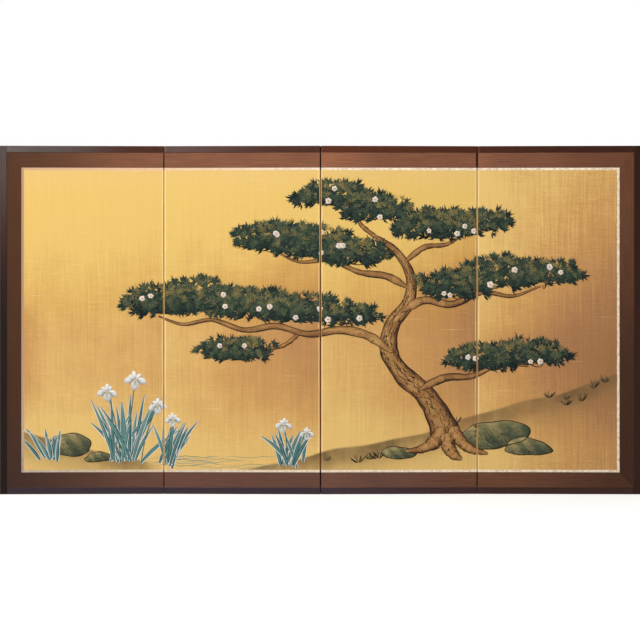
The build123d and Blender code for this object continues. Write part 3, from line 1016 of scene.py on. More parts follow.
for seam in range(1, screen["leaves"]):
    addCrossings(seam, finishes["hinge_strips"])
print("the paper hinges cross their folds")


# The painting is thin closed strokes that stand on the silk. A stroke is worked out flat, as x
# across the screen, z up and its lift off the silk, and then laid on each leaf that it reaches,
# held back from the leaf's sides.

paints = dict(
    foliage=[
        (0.0, "#182322"),
        (0.30, "#293832"),
        (0.58, "#42523f"),
        (0.80, "#67694a"),
        (1.0, "#9a8650"),
    ],
    bark=[(0.0, "#2a1c1b"), (0.30, "#583a2a"), (0.62, "#a07242"), (1.0, "#d3a566")],
    ink=[(0.0, "#120d0a"), (1.0, "#4c3722")],
    blade=[(0.0, "#173f40"), (0.5, "#37696a"), (1.0, "#86aaa0")],
    white=[(0.0, "#c3c9cb"), (0.5, "#e8e6e4"), (1.0, "#faf7f2")],
    petal=[(0.0, "#cf9a86"), (0.5, "#eed8c9"), (1.0, "#fbf2e6")],
    pollen=[(0.0, "#a9701f"), (1.0, "#f1c954")],
    stone=[(0.0, "#272c27"), (0.40, "#525740"), (0.72, "#857c54"), (1.0, "#b9a26a")],
)
paintRows = list(paints)
paintSpread = 0.30  # how much of its row a stroke spans from side to side
silkContact = -0.00004  # the underside of a stroke, just in the silk
# How far strokes stand off the silk. A pair is a range, but for the stones, boughs, stalks and iris
# petals it is where they start and what each next one adds.
lifts = dict(
    ripples=0.00010,
    stones=(0.00012, 0.000004),
    stoneInk=0.00005,  # above the stone
    stoneDabs=(0.00002, 0.00004),
    trunk=0.00013,
    grass=0.00014,
    boughs=(0.00019, 0.000004),
    barkInk=0.00004,  # above the limb
    barkDabs=(0.00004, 0.00006),
    barkCracks=0.00005,
    blades=(0.00020, 0.00042),
    bladeEdges=-0.00001,  # above the blade
    bladeRibs=0.00003,
    twigs=(0.00030, 0.00033),
    stalks=(0.00044, 0.000004),
    irisPetals=(0.00050, 0.00002),
    irisRibs=0.00068,
    blossoms=(0.00068, 0.00072),
    blossomPetals=0.000012,  # what each petal of a blossom adds
    irisTongues=0.00072,
    pollen=0.00080,
)


def paintFinish():
    # matt pigment: the row of the map picks the colour, its length runs from dark to light
    paint = Finish("painted pigment", Roughness=0.78, Specular_IOR_Level=0.18)
    shade, row = axes(paint.tree, paint.node("UVMap", {"uv_map": "OFBake"}))[:2]
    count = len(paintRows)
    tone = paint.ramp(shade, paints[paintRows[0]])
    for index in range(1, count):
        tone = paint.mix(row > index / count, tone, paint.ramp(shade, paints[paintRows[index]]))
    paint.set(Base_Color=tone)
    return paint.material


def onMap(name, shade, across):
    # place on the paint map: along the row by shade, across it by side
    row = (paintRows.index(name) + 0.5 + across * paintSpread) / len(paintRows)
    return np.stack(np.broadcast_arrays(np.clip(shade, 0.01, 0.99), row), -1)


# strokes of one make: points (stroke, vertex, 3), map (stroke, vertex, 2) and their faces
Batch = collections.namedtuple("Batch", "points spots faces")


def touches(paint, place, angle, length, width, lift, shade, outline, bend=0.0, contrast=0.10):
    # Pointed or round touches of the brush. The outline is given once, as share of the length
    # and of the half width, from the foot up one side; the other side mirrors it. A touch is
    # turned to its angle and bowed sideways by bend times its length, most in its middle.
    # One number or one place can stand for all.
    count = len(angle)
    length, width, lift, shade, bend = (
        np.broadcast_to(values, count)[:, None] for values in (length, width, lift, shade, bend)
    )
    side = np.array(outline)
    along = np.concatenate([[0.0], side[:, 0], [1.0], side[::-1, 0]])
    across = np.concatenate([[0.0], -side[:, 1], [0.0], side[::-1, 1]])
    way = np.stack([np.cos(angle), np.sin(angle)], 1)
    reach = (along * length)[..., None] * way[:, None]
    bow = bend * 4 * along * (1 - along) * length
    wide = (across * width / 2 + bow)[..., None] * turned(way)[:, None]
    flat = np.broadcast_to(place, (count, 2))[:, None] + reach + wide
    corners = len(along)
    points = np.zeros((count, 2 * corners, 3))
    points[:, :corners, :2] = points[:, corners:, :2] = flat
    points[:, :corners, 2] = silkContact
    points[:, corners:, 2] = lift
    tone = shade + contrast * across + contrast * (along - 0.5)
    spots = onMap(paint, tone, across)
    tip = len(outline) + 1
    rightHalf = [corners, *range(corners + 1, corners + tip + 1)]
    leftHalf = [corners, *range(corners + tip, 2 * corners)]
    ring = np.arange(corners)
    after = np.roll(ring, -1)
    walls = np.stack([ring, after, after + corners, ring + corners], 1)
    faces = [np.array([rightHalf, leftHalf]), ring[::-1][None], walls]
    return Batch(points, np.concatenate([spots, spots], 1), faces)


def turned(ways):
    # flat directions turned a quarter to the left
    return np.stack([-ways[..., 1], ways[..., 0]], -1)


def lines(paint, middle, width, lift, shade, contrast=0.12, dome=0.15, columns=3):
    # Long strokes along their middle lines (stroke, step, 2), as wide as width (stroke, step).
    # The sheet is offset to both sides of the line by half its width, square to the line. The
    # shade is given by stroke and step, or by column as well. There can be one line, without the
    # first index, and one number can stand for all.
    middle = middle.reshape(-1, *middle.shape[-2:])
    count, steps = middle.shape[:2]
    aside = turned(unit(np.gradient(middle, axis=1)))
    across = np.linspace(-1, 1, columns)
    offset = np.broadcast_to(width / 2, (count, steps))[..., None] * across
    flat = middle[:, :, None] + offset[..., None] * aside[:, :, None]
    lift = np.broadcast_to(lift, count)[:, None, None]
    rise = lift * (1 + dome * (1 - across**2)) + np.zeros((count, steps, 1))
    top = np.concatenate([flat, rise[..., None]], -1).reshape(count, -1, 3)
    under = top.copy()
    under[..., 2] = silkContact
    points = np.concatenate([under, top], 1)
    if np.ndim(shade) < 3:
        shade = np.broadcast_to(shade, (count, steps))[..., None]
    tone = shade + contrast * across
    spots = onMap(paint, tone, across + np.zeros_like(tone)).reshape(count, -1, 2)
    return Batch(points, np.concatenate([spots, spots], 1), gridFaces(steps, columns))


def bowed(start, pull, end, t):
    # the parabola from start to end that leans towards pull
    return start * (1 - t) ** 2 + pull * 2 * t * (1 - t) + end * t**2


def smoothPath(points, count):
    # Catmull-Rom curve through the points, cut into count equal parameter steps
    points = np.array(points, float)
    ends = np.concatenate([[2 * points[0] - points[1]], points, [2 * points[-1] - points[-2]]])
    where = np.linspace(0, len(points) - 1 - 1e-9, count)
    index = where.astype(int)
    t = (where - index)[:, None]
    a, b, c, d = (ends[index + k] for k in range(4))
    return 0.5 * (
        2 * b + (c - a) * t + (2 * a - 5 * b + 4 * c - d) * t**2 + (3 * b - a - 3 * c + d) * t**3
    )


def drift(rng, count, knots):
    # a smooth random line of count values between about -1 and 1
    values = rng.uniform(-1, 1, knots + 3)
    where = np.linspace(0, knots - 1e-9, count)
    index = where.astype(int)
    t = where - index
    t = t * t * (3 - 2 * t)
    return values[index] * (1 - t) + values[index + 1] * t


def putStrokes(name, batches, motif):
    # lays the batches on every leaf they reach and makes one piece of each leaf's share
    lowest, highest = pictureBottom + screen["edgeMargin"], pictureTop - screen["edgeMargin"]
    for number in leafNumbers:
        leaf = leafPlaces[number]
        low, high = leaf.limits()
        points, spots, faces, total = [], [], {}, 0
        for batch in batches:
            x = batch.points[..., 0]
            reaches = (x.max(1) > low + motif["least"]) & (x.min(1) < high - motif["least"])
            flat = batch.points[reaches]
            if not len(flat):
                continue
            across, up = flat[..., 0].clip(low, high), flat[..., 1].clip(lowest, highest)
            laid = leaf.spot(across, up, flat[..., 2])
            starts = total + np.arange(len(flat)) * flat.shape[1]
            for part in batch.faces:
                shifted = (starts[:, None, None] + part[None]).reshape(-1, part.shape[1])
                faces.setdefault(part.shape[1], []).append(shifted)
            points.append(laid.reshape(-1, 3))
            spots.append(batch.spots[reaches].reshape(-1, 2))
            total += len(flat) * flat.shape[1]
        if total:
            sets = [np.concatenate(faces[corners]) for corners in sorted(faces)]
            points, spots = np.concatenate(points), np.concatenate(spots)
            piece = putMesh(f"panel_{number}_{name}", points, sets, spots)
            piece.data.materials.append(pigment)
            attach(piece, leaf.body)
            print(piece.name, sum(len(part) * (part.shape[1] - 2) for part in sets), "triangles")


tree = dict(
    seed=7,
    least=0.0004,
    steps=90,
    columns=13,
    outlineWidth=0.0023,
    marksPerArea=9000,
    cracksPerArea=2600,
    crackSteps=14,
    twigsPerPad=7,
    twigSteps=9,
    # each limb from the root outwards: x, z and the width there
    limbs=[
        [
            (0.338, 0.128, 0.080), (0.315, 0.194, 0.066), (0.273, 0.263, 0.055),
            (0.215, 0.315, 0.050), (0.179, 0.378, 0.045), (0.189, 0.446, 0.038),
            (0.231, 0.504, 0.033), (0.236, 0.572, 0.026), (0.200, 0.635, 0.020),
            (0.147, 0.672, 0.013),
        ],
        [
            (0.322, 0.176, 0.044), (0.301, 0.140, 0.036), (0.266, 0.119, 0.022),
            (0.222, 0.112, 0.006),
        ],
        [
            (0.342, 0.178, 0.040), (0.366, 0.142, 0.034), (0.396, 0.118, 0.022),
            (0.440, 0.106, 0.006),
        ],
        [
            (0.330, 0.160, 0.050), (0.335, 0.128, 0.042), (0.350, 0.104, 0.026),
            (0.372, 0.091, 0.007),
        ],
        [
            (0.186, 0.373, 0.032), (0.126, 0.415, 0.025), (0.053, 0.431, 0.021),
            (-0.032, 0.420, 0.018), (-0.116, 0.441, 0.016), (-0.200, 0.431, 0.013),
            (-0.284, 0.457, 0.010), (-0.362, 0.446, 0.008), (-0.425, 0.467, 0.004),
        ],
        [
            (-0.053, 0.423, 0.013), (-0.100, 0.389, 0.010), (-0.163, 0.378, 0.008),
            (-0.231, 0.352, 0.004),
        ],
        [
            (0.210, 0.478, 0.026), (0.273, 0.509, 0.021), (0.347, 0.499, 0.017),
            (0.425, 0.530, 0.013), (0.504, 0.520, 0.009), (0.578, 0.546, 0.004),
        ],
        [
            (0.257, 0.273, 0.024), (0.326, 0.305, 0.018), (0.399, 0.310, 0.014),
            (0.473, 0.341, 0.010), (0.546, 0.336, 0.004),
        ],
        [
            (0.231, 0.541, 0.021), (0.173, 0.572, 0.018), (0.100, 0.583, 0.014),
            (0.026, 0.614, 0.012), (-0.053, 0.609, 0.008), (-0.116, 0.635, 0.004),
        ],
        [
            (0.221, 0.609, 0.017), (0.273, 0.648, 0.013), (0.331, 0.656, 0.009),
            (0.383, 0.688, 0.004),
        ],
        [
            (0.152, 0.670, 0.013), (0.110, 0.703, 0.010), (0.084, 0.738, 0.008),
            (0.042, 0.760, 0.004),
        ],
    ],
)
foliage = dict(
    seed=23,
    least=0.0006,
    leafLength=0.0180,
    leafWidth=0.0044,
    spraysPerArea=9000,
    leavesPerSpray=7,
    fanHalf=1.15,  # half the angle over which a spray fans out
    # each layer of leaves, dark to light; its spray's place in the pad is above this share
    layers=[
        dict(shade=0.12, lift=(0.00036, 0.00044), share=0.75, size=1.30, thin=1.25, above=-9.0),
        dict(shade=0.36, lift=(0.00045, 0.00053), share=0.95, size=1.0, thin=1.0, above=-9.0),
        dict(shade=0.62, lift=(0.00054, 0.00061), share=0.50, size=0.95, thin=0.75, above=-0.30),
        dict(shade=0.88, lift=(0.00062, 0.00068), share=0.30, size=0.95, thin=0.40, above=0.05),
    ],
    # each pad of leaves: its middle, x and z, and half its width and height
    pads=[
        (-0.420, 0.499, 0.100, 0.045),
        (-0.305, 0.509, 0.110, 0.053),
        (-0.179, 0.488, 0.116, 0.050),
        (-0.221, 0.373, 0.095, 0.037),
        (-0.053, 0.478, 0.105, 0.045),
        (0.068, 0.467, 0.079, 0.034),
        (-0.126, 0.667, 0.100, 0.045),
        (-0.021, 0.651, 0.110, 0.050),
        (0.084, 0.625, 0.089, 0.039),
        (0.037, 0.778, 0.105, 0.038),
        (0.142, 0.742, 0.095, 0.042),
        (0.305, 0.698, 0.105, 0.045),
        (0.410, 0.706, 0.089, 0.038),
        (0.347, 0.541, 0.095, 0.042),
        (0.467, 0.572, 0.110, 0.050),
        (0.593, 0.572, 0.089, 0.039),
        (0.431, 0.352, 0.095, 0.039),
        (0.551, 0.362, 0.095, 0.039),
    ],
    blossomsPerPad=2,
    petals=5,
    stamens=7,
)
leafOutline = [(0.42, 1.0)]
petalOutline = [(0.28, 0.75), (0.62, 1.0), (0.90, 0.62)]
grainOutline = [(0.25, 0.9), (0.75, 0.9)]


def padPoints(rng, pad, count):
    # points all over a pad: an ellipse with a lobed rim and a flatter foot
    x, z, wide, high = pad
    turn = rng.uniform(0, 2 * math.pi, count)
    phase = rng.uniform(0, 2 * math.pi, 2)
    rim = 1 + 0.10 * np.sin(3 * turn + phase[0]) + 0.08 * np.sin(7 * turn + phase[1])
    reach = np.sqrt(rng.uniform(0, 1, count)) * rim
    up = np.sin(turn)
    up = np.where(up > 0, up, up * 0.62)
    return np.stack([x + wide * reach * np.cos(turn), z + high * reach * up], 1)


def paintFoliage():
    # layers of leaves; in a spray the leaves fan out from one point, and each spray points away
    # from the foot of its pad
    rng = np.random.default_rng(foliage["seed"])
    batches = []
    for layer in foliage["layers"]:
        for pad in foliage["pads"]:
            x, z, wide, high = pad
            count = int(foliage["spraysPerArea"] * wide * high * 2.6 * layer["share"])
            place = padPoints(rng, pad, count)
            height = (place[:, 1] - z) / high
            place, height = place[height > layer["above"]], height[height > layer["above"]]
            away = np.arctan2(place[:, 1] - (z - 0.9 * high), (place[:, 0] - x) * 0.8)
            away = away + rng.normal(0, 0.40, len(place))
            tone = layer["shade"] + 0.13 * height + rng.normal(0, 0.07, len(place))
            batches.append(sprays(rng, place, away, tone, layer))
    return batches


def sprays(rng, place, away, tone, layer):
    # fans of leaves at the places given, the outer leaves of a fan shorter
    number, half = foliage["leavesPerSpray"], foliage["fanHalf"]
    fan = np.linspace(-half, half, number)
    angle = away[:, None] + fan + rng.normal(0, 0.16, (len(place), number))
    length = foliage["leafLength"] * layer["size"] * rng.uniform(0.75, 1.15, angle.shape)
    length = length * (1 - 0.22 * np.abs(fan) / half)
    width = foliage["leafWidth"] * layer["thin"] * rng.uniform(0.75, 1.10, angle.shape)
    lift = rng.uniform(*layer["lift"], angle.shape)
    shade = tone[:, None] + rng.normal(0, 0.05, angle.shape)
    root = np.repeat(place, number, axis=0)
    values = (root, angle.ravel(), length.ravel(), width.ravel(), lift.ravel(), shade.ravel())
    bend = rng.uniform(-0.08, 0.08, angle.size)
    return touches("foliage", *values, leafOutline, bend)


def paintLimbs():
    # trunk, roots and boughs: a body pale along its middle and dark at its edges, ink along both
    # edges from where the limb is clear of the one that bears it, then dabs and cracks of bark
    rng = np.random.default_rng(tree["seed"])
    batches = []
    for order, limb in enumerate(tree["limbs"]):
        steps = tree["steps"]
        path = smoothPath(limb, steps)
        middle, width = path[:, :2], path[:, 2]
        rough = 1 + 0.12 * drift(rng, steps, 16) + 0.06 * drift(rng, steps, 40)
        if order:
            width = width * np.clip(0.25 + np.linspace(0, 8, steps), 0, 1)
        width = np.maximum(width * rough, 0.0015)
        aside = turned(unit(np.gradient(middle, axis=0)))
        lit = aside @ np.array([-0.8, 0.6])
        lift = lifts["boughs"][0] + lifts["boughs"][1] * order if order else lifts["trunk"]
        tone = 0.76 + 0.10 * drift(rng, steps, 22) - 0.12 * (width < 0.02)
        across = np.linspace(-1, 1, tree["columns"])
        shade = tone[:, None] + 0.16 * lit[:, None] * across - 0.62 * np.abs(across) ** 3.0
        shade = shade + 0.06 * rng.normal(0, 1, shade.shape)
        batches.append(lines("bark", middle, width, lift, shade[None], 0.0, 0.2, tree["columns"]))
        clear = int(0.16 * steps) if order else 0
        for side in (-1, 1):
            edge = middle + aside * (side * width / 2)[:, None]
            heavy = 0.80 - 0.35 * side * lit
            thick = tree["outlineWidth"] * heavy * (0.80 + 0.45 * drift(rng, steps, 25))
            thick = np.maximum(thick * np.minimum(1.0, 0.45 + width / 0.03), 0.0005)
            ink = 0.25 + 0.15 * drift(rng, steps, 10)
            stroke = edge[clear:], thick[clear:], lift + lifts["barkInk"], ink[clear:]
            batches.append(lines("ink", *stroke, 0.05))
        batches.append(barkMarks(rng, middle, width, aside, lift))
        batches.append(barkCracks(rng, middle, width, aside, lift))
    batches.append(twigs(rng))
    return batches


def barkArea(middle, width):
    return np.linalg.norm(np.diff(middle, axis=0), axis=1).sum() * width.mean()


def barkMarks(rng, middle, width, aside, lift):
    # short curved dabs along the grain, closer together towards the edges
    count = max(6, int(tree["marksPerArea"] * barkArea(middle, width)))
    index = rng.integers(1, len(middle) - 2, count)
    across = rng.uniform(0, 0.92, count) ** 0.55 * rng.choice([-1, 1], count)
    place = middle[index] + aside[index] * (across * width[index] / 2)[:, None]
    angle = np.arctan2(-aside[index, 0], aside[index, 1]) + rng.normal(0, 0.35, count)
    size = rng.uniform(0.005, 0.014, count) * np.clip(width[index] / 0.04, 0.35, 1.2)
    thick = rng.uniform(0.0007, 0.0017, count) * np.clip(width[index] / 0.03, 0.45, 1.2)
    tone = rng.uniform(0.02, 0.34, count)
    low, high = lifts["barkDabs"]
    off = rng.uniform(lift + low, lift + high, count)
    bend = rng.uniform(-0.25, 0.25, count)
    return touches("bark", place, angle, size, thick, off, tone, grainOutline, bend, 0.06)


def barkCracks(rng, middle, width, aside, lift):
    # ragged cracks: each runs some way along the limb while it wanders across it
    count = max(2, int(tree["cracksPerArea"] * barkArea(middle, width)))
    steps, last = tree["crackSteps"], len(middle) - 1
    reach = np.linspace(0, 1, steps) * rng.uniform(0.05, 0.16, count)[:, None] * last
    where = np.clip(rng.uniform(0, 0.92, count)[:, None] * last + reach, 0, last - 0.01)
    wander = np.cumsum(rng.normal(0, 0.11, (count, steps)), 1)
    wander = np.clip(wander + rng.uniform(-0.75, 0.75, count)[:, None], -0.92, 0.92)
    known = np.arange(len(middle))
    spot, side = (
        np.stack([np.interp(where, known, values[:, k]) for k in (0, 1)], -1)
        for values in (middle, aside)
    )
    breadth = np.interp(where, known, width)
    path = spot + side * (wander * breadth / 2)[..., None]
    taper = np.sin(math.pi * np.linspace(0.06, 0.94, steps)) ** 0.7
    thick = taper * rng.uniform(0.0007, 0.0016, count)[:, None] * np.clip(breadth / 0.04, 0.4, 1.1)
    return lines("ink", path, thick, lift + lifts["barkCracks"], 0.35, 0.08, 0.05)


def twigs(rng):
    # fine twigs from the foot of each pad out among its leaves, bowed upwards
    middles = []
    t = np.linspace(0, 1, tree["twigSteps"])
    for x, z, wide, high in foliage["pads"]:
        root = np.array([x, z - high * 0.55])
        for tip in padPoints(rng, (x, z, wide * 0.92, high * 0.92), tree["twigsPerPad"]):
            half = (root + tip) / 2 + rng.normal(0, 0.006, 2) - (0, 0.008)
            middles.append(bowed(root, half, tip, t[:, None]))
    lift = rng.uniform(*lifts["twigs"], len(middles))
    return lines("ink", np.array(middles), 0.0028 * (1 - 0.75 * t), lift, 0.3, 0.1)


def paintBlossoms():
    # five-petalled pale blossoms on the pads, each petal round, with a tuft of pollen
    rng = np.random.default_rng(foliage["seed"] + 1)
    number, petals, stamens = (foliage[key] for key in ("blossomsPerPad", "petals", "stamens"))
    spots = [padPoints(rng, (x, z, a * 0.8, b * 0.8), number) for x, z, a, b in foliage["pads"]]
    place = np.concatenate(spots)
    count = len(place)
    size = rng.uniform(0.0068, 0.0092, count)
    turn = rng.uniform(0, 2 * math.pi, count)[:, None]
    angle = turn + np.arange(petals) * 2 * math.pi / petals + rng.normal(0, 0.07, (count, petals))
    length = np.repeat(size, petals) * rng.uniform(0.9, 1.08, count * petals)
    width = length * rng.uniform(0.92, 1.05, count * petals)
    lift = np.repeat(rng.uniform(*lifts["blossoms"], count), petals)
    lift = lift + np.tile(np.arange(petals) * lifts["blossomPetals"], count)
    shade = rng.uniform(0.55, 0.80, count * petals)
    shape = np.repeat(place, petals, axis=0), angle.ravel(), length, width, lift, shade
    stars = (turn + np.arange(stamens) * 2 * math.pi / stamens).ravel()
    tuft = np.repeat(place, stamens, axis=0), stars, 0.0026, 0.0012, lifts["pollen"], 0.7
    return [
        touches("petal", *shape, petalOutline, 0.0, 0.18),
        touches("pollen", *tuft, grainOutline, 0.0, 0.25),
    ]


stones = dict(
    seed=5,
    # each stone: its middle, x and z, half its width and height, and a lean
    places=[
        (0.452, 0.146, 0.086, 0.050, 0.25),
        (0.545, 0.118, 0.056, 0.032, -0.20),
        (0.205, 0.104, 0.042, 0.022, 0.15),
        (-0.655, 0.122, 0.058, 0.036, -0.25),
        (-0.585, 0.094, 0.032, 0.018, 0.20),
    ],
    rings=9,
    spokes=44,
    outlineSteps=120,
)


def paintStones():
    # Rounded stones: a lobed ring drawn in to its middle, light above on the left and dark below,
    # an ink line round it of changing weight, and slanting dry-brush marks.
    rng = np.random.default_rng(stones["seed"])
    batches = []
    rings, spokes = stones["rings"], stones["spokes"]
    turn = np.linspace(0, 2 * math.pi, spokes, endpoint=False)
    number = np.arange(rings * spokes).reshape(rings, spokes)
    after = np.roll(number, -1, axis=1)
    sheet = np.stack([number[:-1], number[1:], after[1:], after[:-1]], -1).reshape(-1, 4)
    base = rings * spokes + np.arange(spokes)
    walls = np.stack([base, np.roll(base, -1), after[-1], number[-1]], 1)
    faces = [np.concatenate([sheet, walls]), number[0][None], base[::-1][None]]
    for order, (x, z, wide, high, lean) in enumerate(stones["places"]):
        phase = rng.uniform(0, 2 * math.pi, 3)
        rim = 1 + 0.10 * np.cos(2 * turn + phase[0]) + 0.07 * np.cos(3 * turn + phase[1])
        rim = rim + 0.025 * np.cos(7 * turn + phase[2])
        up = np.sin(turn) * np.where(np.sin(turn) > 0, 1.0, 0.55)
        ring = np.stack([np.cos(turn) * rim * wide + up * high * lean, up * rim * high], 1)
        flat = np.array([x, z]) + ring * np.linspace(0.06, 1, rings)[:, None, None]
        lift = lifts["stones"][0] + lifts["stones"][1] * order
        top = np.concatenate([flat, np.full((rings, spokes, 1), lift)], -1)
        under = np.concatenate([flat[-1], np.full((spokes, 1), silkContact)], -1)
        points = np.concatenate([top.reshape(-1, 3), under])[None]
        aside, above = (flat[..., 0] - x) / wide, (flat[..., 1] - z) / high
        fall = above * 0.30 - aside * 0.22
        slope = 9 * (flat[..., 0] - x) / wide + 4 * (flat[..., 1] - z) / high
        facets = 0.10 * np.sign(np.sin(slope + phase[0]))
        shade = 0.50 + fall + facets + rng.normal(0, 0.05, fall.shape)
        across = np.linspace(-1, 1, rings)[:, None] + np.zeros((1, spokes))
        spots = onMap("stone", shade, across).reshape(-1, 2)
        batches.append(Batch(points, np.concatenate([spots, spots[-spokes:]])[None], faces))
        steps = stones["outlineSteps"]
        outline = smoothPath(np.concatenate([flat[-1], flat[-1][:1]]), steps)
        weight = 0.0016 + 0.0007 * drift(rng, steps, 14) + 0.0007 * (outline[:, 0] > x)
        batches.append(lines("ink", outline, weight, lift + lifts["stoneInk"], 0.2, 0.1))
        batches.append(stoneMarks(rng, np.array([x, z]), ring, wide, high, lift))
    return batches


def stoneMarks(rng, middle, ring, wide, high, lift):
    # slanting dabs all over a stone
    count = int(900 * wide)
    share = rng.uniform(0.10, 0.72, (count, 1))
    inside = middle + ring[rng.integers(0, len(ring), count)] * share
    slant = rng.normal(-0.9, 0.22, count)
    size = rng.uniform(0.005, 0.012, count) * high / 0.04
    thick = rng.uniform(0.0006, 0.0014, count)
    low, high = lifts["stoneDabs"]
    off = rng.uniform(lift + low, lift + high, count)
    dark = rng.uniform(0.0, 0.22, count)
    bend = rng.uniform(-0.15, 0.15, count)
    return touches("stone", inside, slant, size, thick, off, dark, grainOutline, bend, 0.05)


irises = dict(
    seed=31,
    least=0.0004,
    bladeSteps=12,
    # each clump: x and z of its foot, its half width, its number of blades and their length
    clumps=[
        (-0.512, 0.090, 0.050, 30, 0.165),
        (-0.402, 0.078, 0.032, 17, 0.115),
        (-0.705, 0.092, 0.026, 12, 0.095),
        (-0.080, 0.076, 0.030, 15, 0.098),
    ],
    # each flower: x and z of its heart, its size, and the x of its stalk's foot
    flowers=[
        (-0.560, 0.268, 0.0205, -0.525),
        (-0.486, 0.300, 0.0225, -0.505),
        (-0.428, 0.232, 0.0190, -0.470),
        (-0.388, 0.196, 0.0165, -0.402),
        (-0.096, 0.182, 0.0175, -0.086),
        (-0.036, 0.160, 0.0150, -0.066),
    ],
    stalkFoot=0.085,  # how high every stalk starts
    veins=5,  # on each of the three falls
)


def paintIrises():
    # Sword leaves: each follows a parabola from its foot, wide below and drawn to a point, a white
    # edge under a blue-green blade. Flowers: three falls that hang and three standards that rise.
    rng = np.random.default_rng(irises["seed"])
    batches = []
    t = np.linspace(0, 1, irises["bladeSteps"])
    for x, z, spread, count, length in irises["clumps"]:
        across, up = rng.normal(0, 0.45, count) * spread, rng.normal(0, 0.004, count)
        foot = np.stack([x + across, z + up], 1)
        lean = (foot[:, 0] - x) / spread * 0.30 + rng.normal(0, 0.28, count)
        reach = length * rng.uniform(0.55, 1.05, count)
        sag = lean * rng.uniform(0.25, 0.75, count)
        side = lean[:, None] * t + sag[:, None] * t**2
        droop = 1 - 0.22 * np.abs(sag[:, None]) * t
        middle = foot[:, None] + reach[:, None, None] * np.stack([side, t * droop], -1)
        profile = np.sin(math.pi * np.clip(0.16 + 0.84 * t, 0, 1)) ** 0.8
        width = rng.uniform(0.0062, 0.0100, count)[:, None] * profile + 0.0006
        lift = np.sort(rng.uniform(*lifts["blades"], count))
        under = lift + lifts["bladeEdges"]
        batches.append(lines("white", middle, width + 0.0025, under, 0.86, 0.1, 0.0))
        tone = rng.uniform(0.20, 0.62, count)[:, None] + 0.25 * t
        batches.append(lines("blade", middle, width, lift, tone, 0.16, 0.08))
        rib = width * 0.14 + 0.0003
        batches.append(lines("blade", middle, rib, lift + lifts["bladeRibs"], 0.85, 0.05, 0.1))
    for order, flower in enumerate(irises["flowers"]):
        batches += irisFlower(rng, *flower, t[:, None], order)
    return batches


def irisFlower(rng, x, z, size, root, t, order):
    # a bowed stalk, petals in two threes round its heart, and ribs and a tongue on each fall
    foot, heart = np.array([root, irises["stalkFoot"]]), np.array([x, z])
    stalk = bowed(foot, (foot + heart) / 2 + (0.35 * (root - x), 0.0), heart, t)
    lift = lifts["stalks"][0] + lifts["stalks"][1] * order
    fallAngles = np.array([-2.75, -0.40, -1.57]) + rng.normal(0, 0.10, 3)
    upAngles = np.array([2.35, 0.80, 1.57]) + rng.normal(0, 0.10, 3)
    angle = np.concatenate([fallAngles, upAngles])
    length = size * np.array([1.35, 1.35, 1.25, 0.95, 0.95, 1.10])
    wide = size * np.array([0.80, 0.80, 0.92, 0.46, 0.46, 0.52])
    high = lifts["irisPetals"][0] + lifts["irisPetals"][1] * np.arange(1, 7)
    shade = np.array([0.62, 0.60, 0.78, 0.70, 0.68, 0.88])
    bend = np.array([-0.10, 0.10, 0.0, -0.06, 0.06, 0.0])
    veins = irises["veins"]
    veinAngles = np.repeat(fallAngles, veins) + np.tile(np.linspace(-0.34, 0.34, veins), 3)
    ribs = heart, veinAngles, size * 0.85, 0.0009, lifts["irisRibs"], 0.75
    tongue = heart, fallAngles, size * 0.42, size * 0.16, lifts["irisTongues"], 0.75
    return [
        lines("blade", stalk, 0.0026, lift, 0.55, 0.2),
        touches("white", heart, angle, length, wide, high, shade, petalOutline, bend, 0.30),
        touches("blade", *ribs, grainOutline, 0.0, 0.1),
        touches("pollen", *tongue, leafOutline, 0.0, 0.15),
    ]


ground = dict(
    seed=41,
    least=0.0004,
    tufts=44,
    bladesPerTuft=7,
    ripples=15,
    rippleSteps=40,
)


def ridgeHeight(x):
    # the ridges of the wash again, and the level of the ground between them
    waves = wobble(x, np.sin)
    height = np.full(x.shape, banks["between"])
    for bank in banks["sides"]:
        share = (x - bank["start"]) / bank["reach"]
        ridge = np.maximum(share, 0) ** bank["power"] * bank["rise"] + bank["foot"]
        height = np.where(share > 0, ridge + waves * bank["wobbles"], height)
    return height


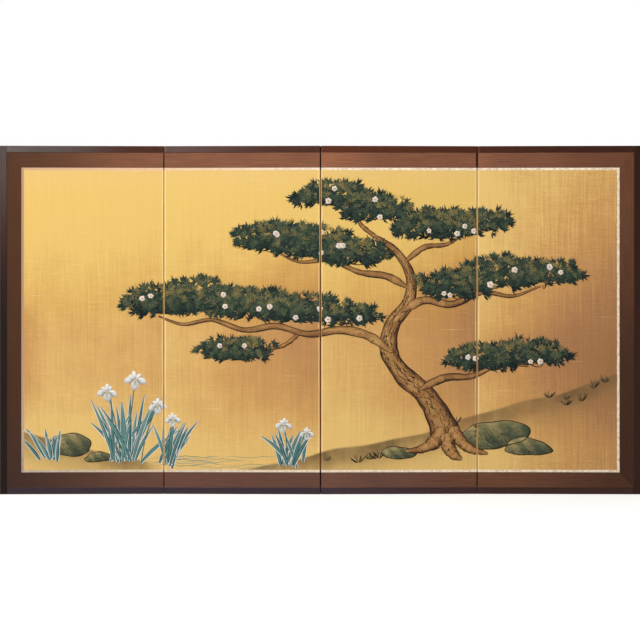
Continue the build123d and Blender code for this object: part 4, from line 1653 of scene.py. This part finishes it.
def paintGround():
    # tufts of fine grass below the ridges and a few long ripples where the banks part
    rng = np.random.default_rng(ground["seed"])
    x = rng.uniform(pictureLeft + 0.02, pictureRight - 0.02, ground["tufts"])
    right, left = (bank["start"] for bank in banks["sides"])
    x = x[(x > right + 0.15) | (x < left - 0.02)]
    taken = [(clump[0], 0.06) for clump in irises["clumps"]]
    taken = np.array(taken + [(stone[0], 0.9 * stone[2]) for stone in stones["places"]])
    x = x[(np.abs(x[:, None] - taken[:, 0]) - taken[:, 1]).min(1) > 0]
    foot = np.stack([x, ridgeHeight(x) - rng.uniform(0.004, 0.05, len(x))], 1)
    foot[:, 1] = np.maximum(foot[:, 1], pictureBottom + 0.006)
    number = ground["bladesPerTuft"]
    lean = np.linspace(-0.75, 0.75, number) + rng.normal(0, 0.12, (len(x), number))
    length = rng.uniform(0.012, 0.030, lean.shape)
    root = np.repeat(foot, number, axis=0) + rng.normal(0, 0.0010, (lean.size, 2)) * (1, 0.2)
    angle = (math.pi / 2 - lean).ravel()
    tone = rng.uniform(0.25, 0.55, lean.size)
    blades = root, angle, length.ravel(), 0.0008, lifts["grass"], tone
    grass = touches("stone", *blades, grainOutline, -0.22 * lean.ravel(), 0.1)
    t = np.linspace(0, 1, ground["rippleSteps"])
    count = ground["ripples"]
    start = rng.uniform(-0.47, -0.20, count)
    reach = rng.uniform(0.07, 0.20, count)
    height = np.linspace(pictureBottom + 0.007, pictureBottom + 0.036, count)
    height = (height + rng.normal(0, 0.001, count))[:, None]
    phase = rng.uniform(0, 6.28, count)
    across = start[:, None] + reach[:, None] * t
    up = height + 0.0018 * np.sin(across * 70 + phase[:, None]) + 0.0008 * np.sin(across * 190)
    width = 0.0012 * np.sin(math.pi * np.clip(t, 0.02, 0.98)) ** 0.6
    path = np.stack([across, up], -1)
    return [grass, lines("blade", path, width, lifts["ripples"], 0.8, 0.1, 0.0)]


pigment = paintFinish()
putStrokes("painted_ground", paintGround() + paintStones(), ground)
putStrokes("painted_boughs", paintLimbs(), tree)
putStrokes("painted_irises", paintIrises(), irises)
putStrokes("painted_foliage", paintFoliage() + paintBlossoms(), foliage)
print("the picture is painted")
